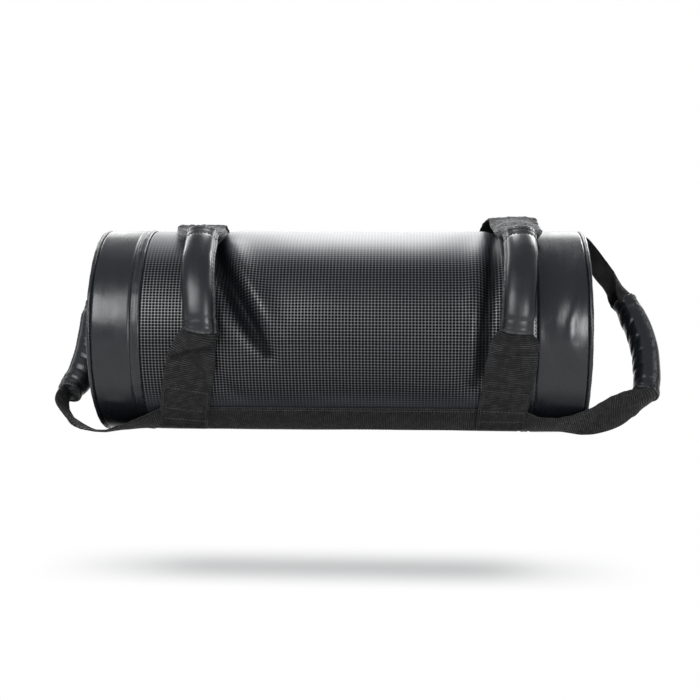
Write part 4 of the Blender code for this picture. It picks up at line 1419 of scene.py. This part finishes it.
class SANDBAG_OT_filling(bpy.types.Operator):
    """Foam, liner sack and sand inside the bag"""

    bl_idname = "sandbag.filling"
    bl_label = "Filling"

    def execute(self, context):
        looks = {
            "left_end_pad": foam_of(context), "right_end_pad": foam_of(context),
            "liner_sack": known("sack canvas", sack_canvas, colour_of(context, "canvas")),
            "liner_tie": thread_of(context),
            "sand_fill": known("dry sand", dry_sand, colour_of(context, "sand")),
        }
        for node, material in looks.items():
            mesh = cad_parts[node].data
            mesh.materials.clear()
            mesh.materials.append(material)
        wall = context.scene.sandbag_sizes.skin_wall
        foam_layer("foam_layer", "foam_wrap", foam_of(context), wall)
        return {"FINISHED"}


class SANDBAG_OT_skin(bpy.types.Operator):
    """End bands, hem strips and the embossed panel"""

    bl_idname = "sandbag.skin"
    bl_label = "Skin"

    def execute(self, context):
        sizes = context.scene.sandbag_sizes
        smooth = vinyl_of(context)
        embossed = known("embossed vinyl coat", embossed_vinyl, colour_of(context, "vinyl"),
                         sizes.grid_along, sizes.grid_round)
        plan = [
            ("left_band_cover", "left_end_band", smooth, (0, 0.3 * MM), (), 3.0 * MM),
            ("left_hem_cover", "left_hem_strip", smooth, (0.3 * MM, 1.1 * MM), LEFT_HEM_ROWS, 1.1 * MM),
            ("panel_cover", "main_panel", embossed, (0, 0), (), 2.9 * MM),
            ("right_hem_cover", "right_hem_strip", smooth, (0.3 * MM, 0.1 * MM), RIGHT_HEM_ROWS, 1.1 * MM),
            ("right_band_cover", "right_end_band", smooth, (0.3 * MM, 0), (), 3.0 * MM),
        ]
        for name, node, material, raised, rows, spacing in plan:
            piece = skin_piece(name, node, material, raised, rows, sizes.skin_wall, spacing)
            "embossed_vinyl" if node == "main_panel" else "smooth_vinyl"
        return {"FINISHED"}


class SANDBAG_OT_ends(bpy.types.Operator):
    """Round ends and the piping round their rims"""

    bl_idname = "sandbag.ends"
    bl_label = "Ends"

    def execute(self, context):
        for end, side in (("left", -1), ("right", 1)):
            welt(f"{end}_welt", f"{end}_piping", side, vinyl_of(context))
            end_face(f"{end}_end_face", f"{end}_end_disc", side, vinyl_of(context))
        return {"FINISHED"}


class SANDBAG_OT_strips(bpy.types.Operator):
    """Webbing sewn along the bag"""

    bl_idname = "sandbag.strips"
    bl_label = "Strips"

    def execute(self, context):
        pitch = context.scene.sandbag_sizes.rib_pitch
        for end, angle in (("front", STRIP_ANGLE), ("rear", STRIP_ANGLE + math.pi)):
            piece = bag_strip(f"{end}_strip_webbing", f"{end}_strip", angle, webbing_of(context), pitch)
        return {"FINISHED"}


class SANDBAG_OT_end_handles(bpy.types.Operator):
    """Webbing of the handles at both ends"""

    bl_idname = "sandbag.end_handles"
    bl_label = "End handles"

    def execute(self, context):
        pitch = context.scene.sandbag_sizes.rib_pitch
        for end in END_HANDLES:
            for part in ("front", "rear"):
                piece = end_half(end, part, webbing_of(context), pitch)
                if part == "front":
                    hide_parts(f"{end}_end_webbing")
        return {"FINISHED"}


class SANDBAG_OT_cross_handles(bpy.types.Operator):
    """Webbing of the handles across the bag"""

    bl_idname = "sandbag.cross_handles"
    bl_label = "Cross handles"

    def execute(self, context):
        pitch = context.scene.sandbag_sizes.rib_pitch
        for name in FRONT_HANDLES:
            for part in ("lower", "upper"):
                piece = front_half(name, part, webbing_of(context), pitch)
                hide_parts(f"{name}_{part}_patch")
                if part == "lower":
                    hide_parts(f"{name}_webbing")
        return {"FINISHED"}


class SANDBAG_OT_grips(bpy.types.Operator):
    """Padded grips of the four handles"""

    bl_idname = "sandbag.grips"
    bl_label = "Grips"

    def execute(self, context):
        for name, grip in GRIPS.items():
            grip_cover(name, grip, vinyl_of(context))
        return {"FINISHED"}


class SANDBAG_OT_stitching(bpy.types.Operator):
    """Rows of stitches on the bag and on the grips"""

    bl_idname = "sandbag.stitching"
    bl_label = "Stitching"

    def execute(self, context):
        sizes = context.scene.sandbag_sizes
        thread = thread_of(context)
        rows = hem_rows() + strip_rows() + patch_rows()
        thread_piece("bag_thread", rows, "bag", thread, sizes)
        for name, grip in GRIPS.items():
            piece = thread_piece(f"{name}_thread", grip_rows(grip), f"{name}_handle", thread, sizes)
        return {"FINISHED"}


# The stage
FLOOR_HEIGHT = -130 * MM
FLOOR_RADIUS = 1.0
FLOOR_RINGS = 12
FLOOR_SIDES = 64
SHADOW_MIDDLE = (0.0, -80 * MM)
SHADOW_HALF_WIDTH = 275 * MM
SHADOW_HALF_DEPTH = 82 * MM
# The lamps: their place, width and height in metres, and their strength in watts
LAMPS = {
    "overhead": ((-0.02, 0.66, 1.1), 0.38, 0.75, 6.8),
    "side_left": ((-0.74, 0.6, 0.68), 0.26, 0.5, 2.4),
    "side_right": ((0.6, 0.5, 0.64), 0.26, 0.42, 3.8),
    "rear": ((0, 0.66, 0.5), 1.25, 0.34, 3.6),
    "front_left": ((-0.66, -1.12, 0.78), 0.85, 0.66, 14),
    "front_right": ((0.76, -1.24, 0.34), 0.42, 0.4, 8),
}
CAMERA_PLACE = (0.0696, -1.3714, 0.25703)
CAMERA_WAY = (-0.04498, 0.99101, -0.12598)
CAMERA_LENS = 66.857
CAMERA_SENSOR = 36


def seen_share(look):
    """1 for the rays that see the surroundings from the camera or in gloss, 0 for the light they throw."""
    return look.ray("Camera").math("MAXIMUM", look.ray("Glossy")).math("MAXIMUM", look.ray("Transmission"))


def floor_look(name):
    """A white floor that runs out into the white background.

    It keeps the bag's shadow only where two fades meet, one along X and one along Y. In gloss a painted shadow,
    a dim glow, lies near the bag, and it is white further out.
    """
    look = Look(bpy.data.materials.new(name))
    place = look.object_place()
    x, y, _ = look.split(place)
    along = ((x - SHADOW_MIDDLE[0]) / SHADOW_HALF_WIDTH).math("ABSOLUTE").step(1.2, 0.45)
    deep = ((y - SHADOW_MIDDLE[1]) / SHADOW_HALF_DEPTH).math("ABSOLUTE").step(1.0, 0.0)
    bare = 1 - along * deep
    near = look.stretched(place, (2.0, 4.2, 1.0))
    far = look.node("ShaderNodeVectorMath", {"operation": "LENGTH"}, (near,), "Value").step(0.6, 1.0)
    cloth = look.node("ShaderNodeBsdfDiffuse", {}, {"Color": (0.7, 0.7, 0.7, 1)})
    white = look.node("ShaderNodeEmission", {}, {"Color": (1, 1, 1, 1), "Strength": 1.0})
    # Painted shadow: what gloss sees of the floor under the bag
    painted_floor_shadow = look.node("ShaderNodeEmission", {}, {"Color": (1, 1, 1, 1), "Strength": 0.04})
    gloss = look.node("ShaderNodeMixShader", {}, (far, painted_floor_shadow, white))
    view = look.node("ShaderNodeMixShader", {}, (bare, cloth, white))
    seen = look.node("ShaderNodeMixShader", {}, (look.ray("Camera"), gloss, view))
    both = look.node("ShaderNodeMixShader", {}, (seen_share(look), cloth, seen))
    look.node("ShaderNodeOutputMaterial", {}, {"Surface": both})
    return look.owner


def floor_disc(name):
    """A level round floor: rings of faces round a polygon in the middle."""
    angle = all_round(FLOOR_SIDES)
    radius = np.linspace(0.02, 1.0, FLOOR_RINGS)[:, None] * FLOOR_RADIUS
    grid = np.stack([radius * np.cos(angle), radius * np.sin(angle), 0 * radius * angle], axis=-1)
    here = np.arange(FLOOR_RINGS - 1)[:, None] * FLOOR_SIDES
    j = np.arange(FLOOR_SIDES)
    after = (j + 1) % FLOOR_SIDES
    quads = np.stack([here + j, here + FLOOR_SIDES + j, here + FLOOR_SIDES + after, here + after], axis=-1)
    mesh = bpy.data.meshes.new(name)
    mesh.from_pydata(grid.reshape(-1, 3).tolist(), [], quads.reshape(-1, 4).tolist() + [j.tolist()])
    floor = add_piece(name, mesh, floor_look("white floor"))
    floor.location = (0, 0, FLOOR_HEIGHT)
    return floor


def surroundings(name):
    """White all round for the camera. In gloss they are white behind and below, and dimmer elsewhere."""
    look = Look(bpy.data.worlds.new(name))
    _, back, up = look.split(look.node("ShaderNodeTexCoord", output="Generated"))
    white = look.node("ShaderNodeBackground", {}, {"Color": (1, 1, 1, 1), "Strength": 1.0})
    dim = look.node("ShaderNodeBackground", {}, {"Color": (0.93, 0.96, 1, 1), "Strength": 0.42})
    plain = look.node("ShaderNodeBackground", {}, {"Color": (0.93, 0.96, 1, 1), "Strength": 0.3})
    bright = back.step(0.25, 0.8).math("MAXIMUM", up.step(0.02, -0.1))
    gloss = look.node("ShaderNodeMixShader", {}, (bright, dim, white))
    seen = look.node("ShaderNodeMixShader", {}, (look.ray("Camera"), gloss, white))
    both = look.node("ShaderNodeMixShader", {}, (seen_share(look), plain, seen))
    look.node("ShaderNodeOutputWorld", {}, {"Surface": both})
    return look.owner


def soft_light(name, place, aim, width, height, strength):
    """A rectangular lamp that faces a point."""
    lamp = bpy.data.lights.new(name, "AREA")
    lamp.shape = "RECTANGLE"
    lamp.size = width
    lamp.size_y = height
    lamp.energy = strength
    item = bpy.data.objects.new(name, lamp)
    item.location = place
    item.rotation_euler = (Vector(aim) - Vector(place)).to_track_quat("-Z", "Y").to_euler()
    bpy.context.scene.collection.objects.link(item)


class SANDBAG_OT_stage(bpy.types.Operator):
    """Floor, white surroundings, soft lamps and the camera"""

    bl_idname = "sandbag.stage"
    bl_label = "Stage"

    def execute(self, context):
        scene = context.scene
        floor_disc("floor")
        scene.world = surroundings("white surroundings")
        for name, (place, width, height, strength) in LAMPS.items():
            soft_light(name, place, (0, 0, AXIS_HEIGHT), width, height, strength)
        camera = bpy.data.cameras.new("camera")
        camera.sensor_width = CAMERA_SENSOR
        camera.lens = CAMERA_LENS
        view = bpy.data.objects.new("camera", camera)
        view.location = CAMERA_PLACE
        view.rotation_euler = Vector(CAMERA_WAY).to_track_quat("-Z", "Y").to_euler()
        scene.collection.objects.link(view)
        scene.camera = view
        scene.view_settings.view_transform = "Standard"
        return {"FINISHED"}


class SANDBAG_PT_panel(bpy.types.Panel):
    bl_label = "Sandbag trainer"
    bl_idname = "SANDBAG_PT_panel"
    bl_space_type = "VIEW_3D"
    bl_region_type = "UI"
    bl_category = "Sandbag"

    def draw(self, context):
        for group in (context.scene.sandbag_sizes, context.scene.sandbag_colours):
            for key in group.__annotations__:
                self.layout.prop(group, key)
        for step in STEPS:
            self.layout.operator(step.bl_idname)


STEPS = (
    SANDBAG_OT_stage, SANDBAG_OT_filling, SANDBAG_OT_skin, SANDBAG_OT_ends, SANDBAG_OT_strips,
    SANDBAG_OT_end_handles, SANDBAG_OT_cross_handles, SANDBAG_OT_grips, SANDBAG_OT_stitching,
)
CLASSES = (SandbagSizes, SandbagColours, *STEPS, SANDBAG_PT_panel)


def register():
    for item in CLASSES:
        bpy.utils.register_class(item)
    bpy.types.Scene.sandbag_sizes = bpy.props.PointerProperty(type=SandbagSizes)
    bpy.types.Scene.sandbag_colours = bpy.props.PointerProperty(type=SandbagColours)


def unregister():
    del bpy.types.Scene.sandbag_sizes
    del bpy.types.Scene.sandbag_colours
    for item in reversed(CLASSES):
        bpy.utils.unregister_class(item)


def main():
    register()
    for step in STEPS:
        getattr(bpy.ops.sandbag, step.bl_idname.split(".")[1])()


if __name__ == "__main__":
    main()
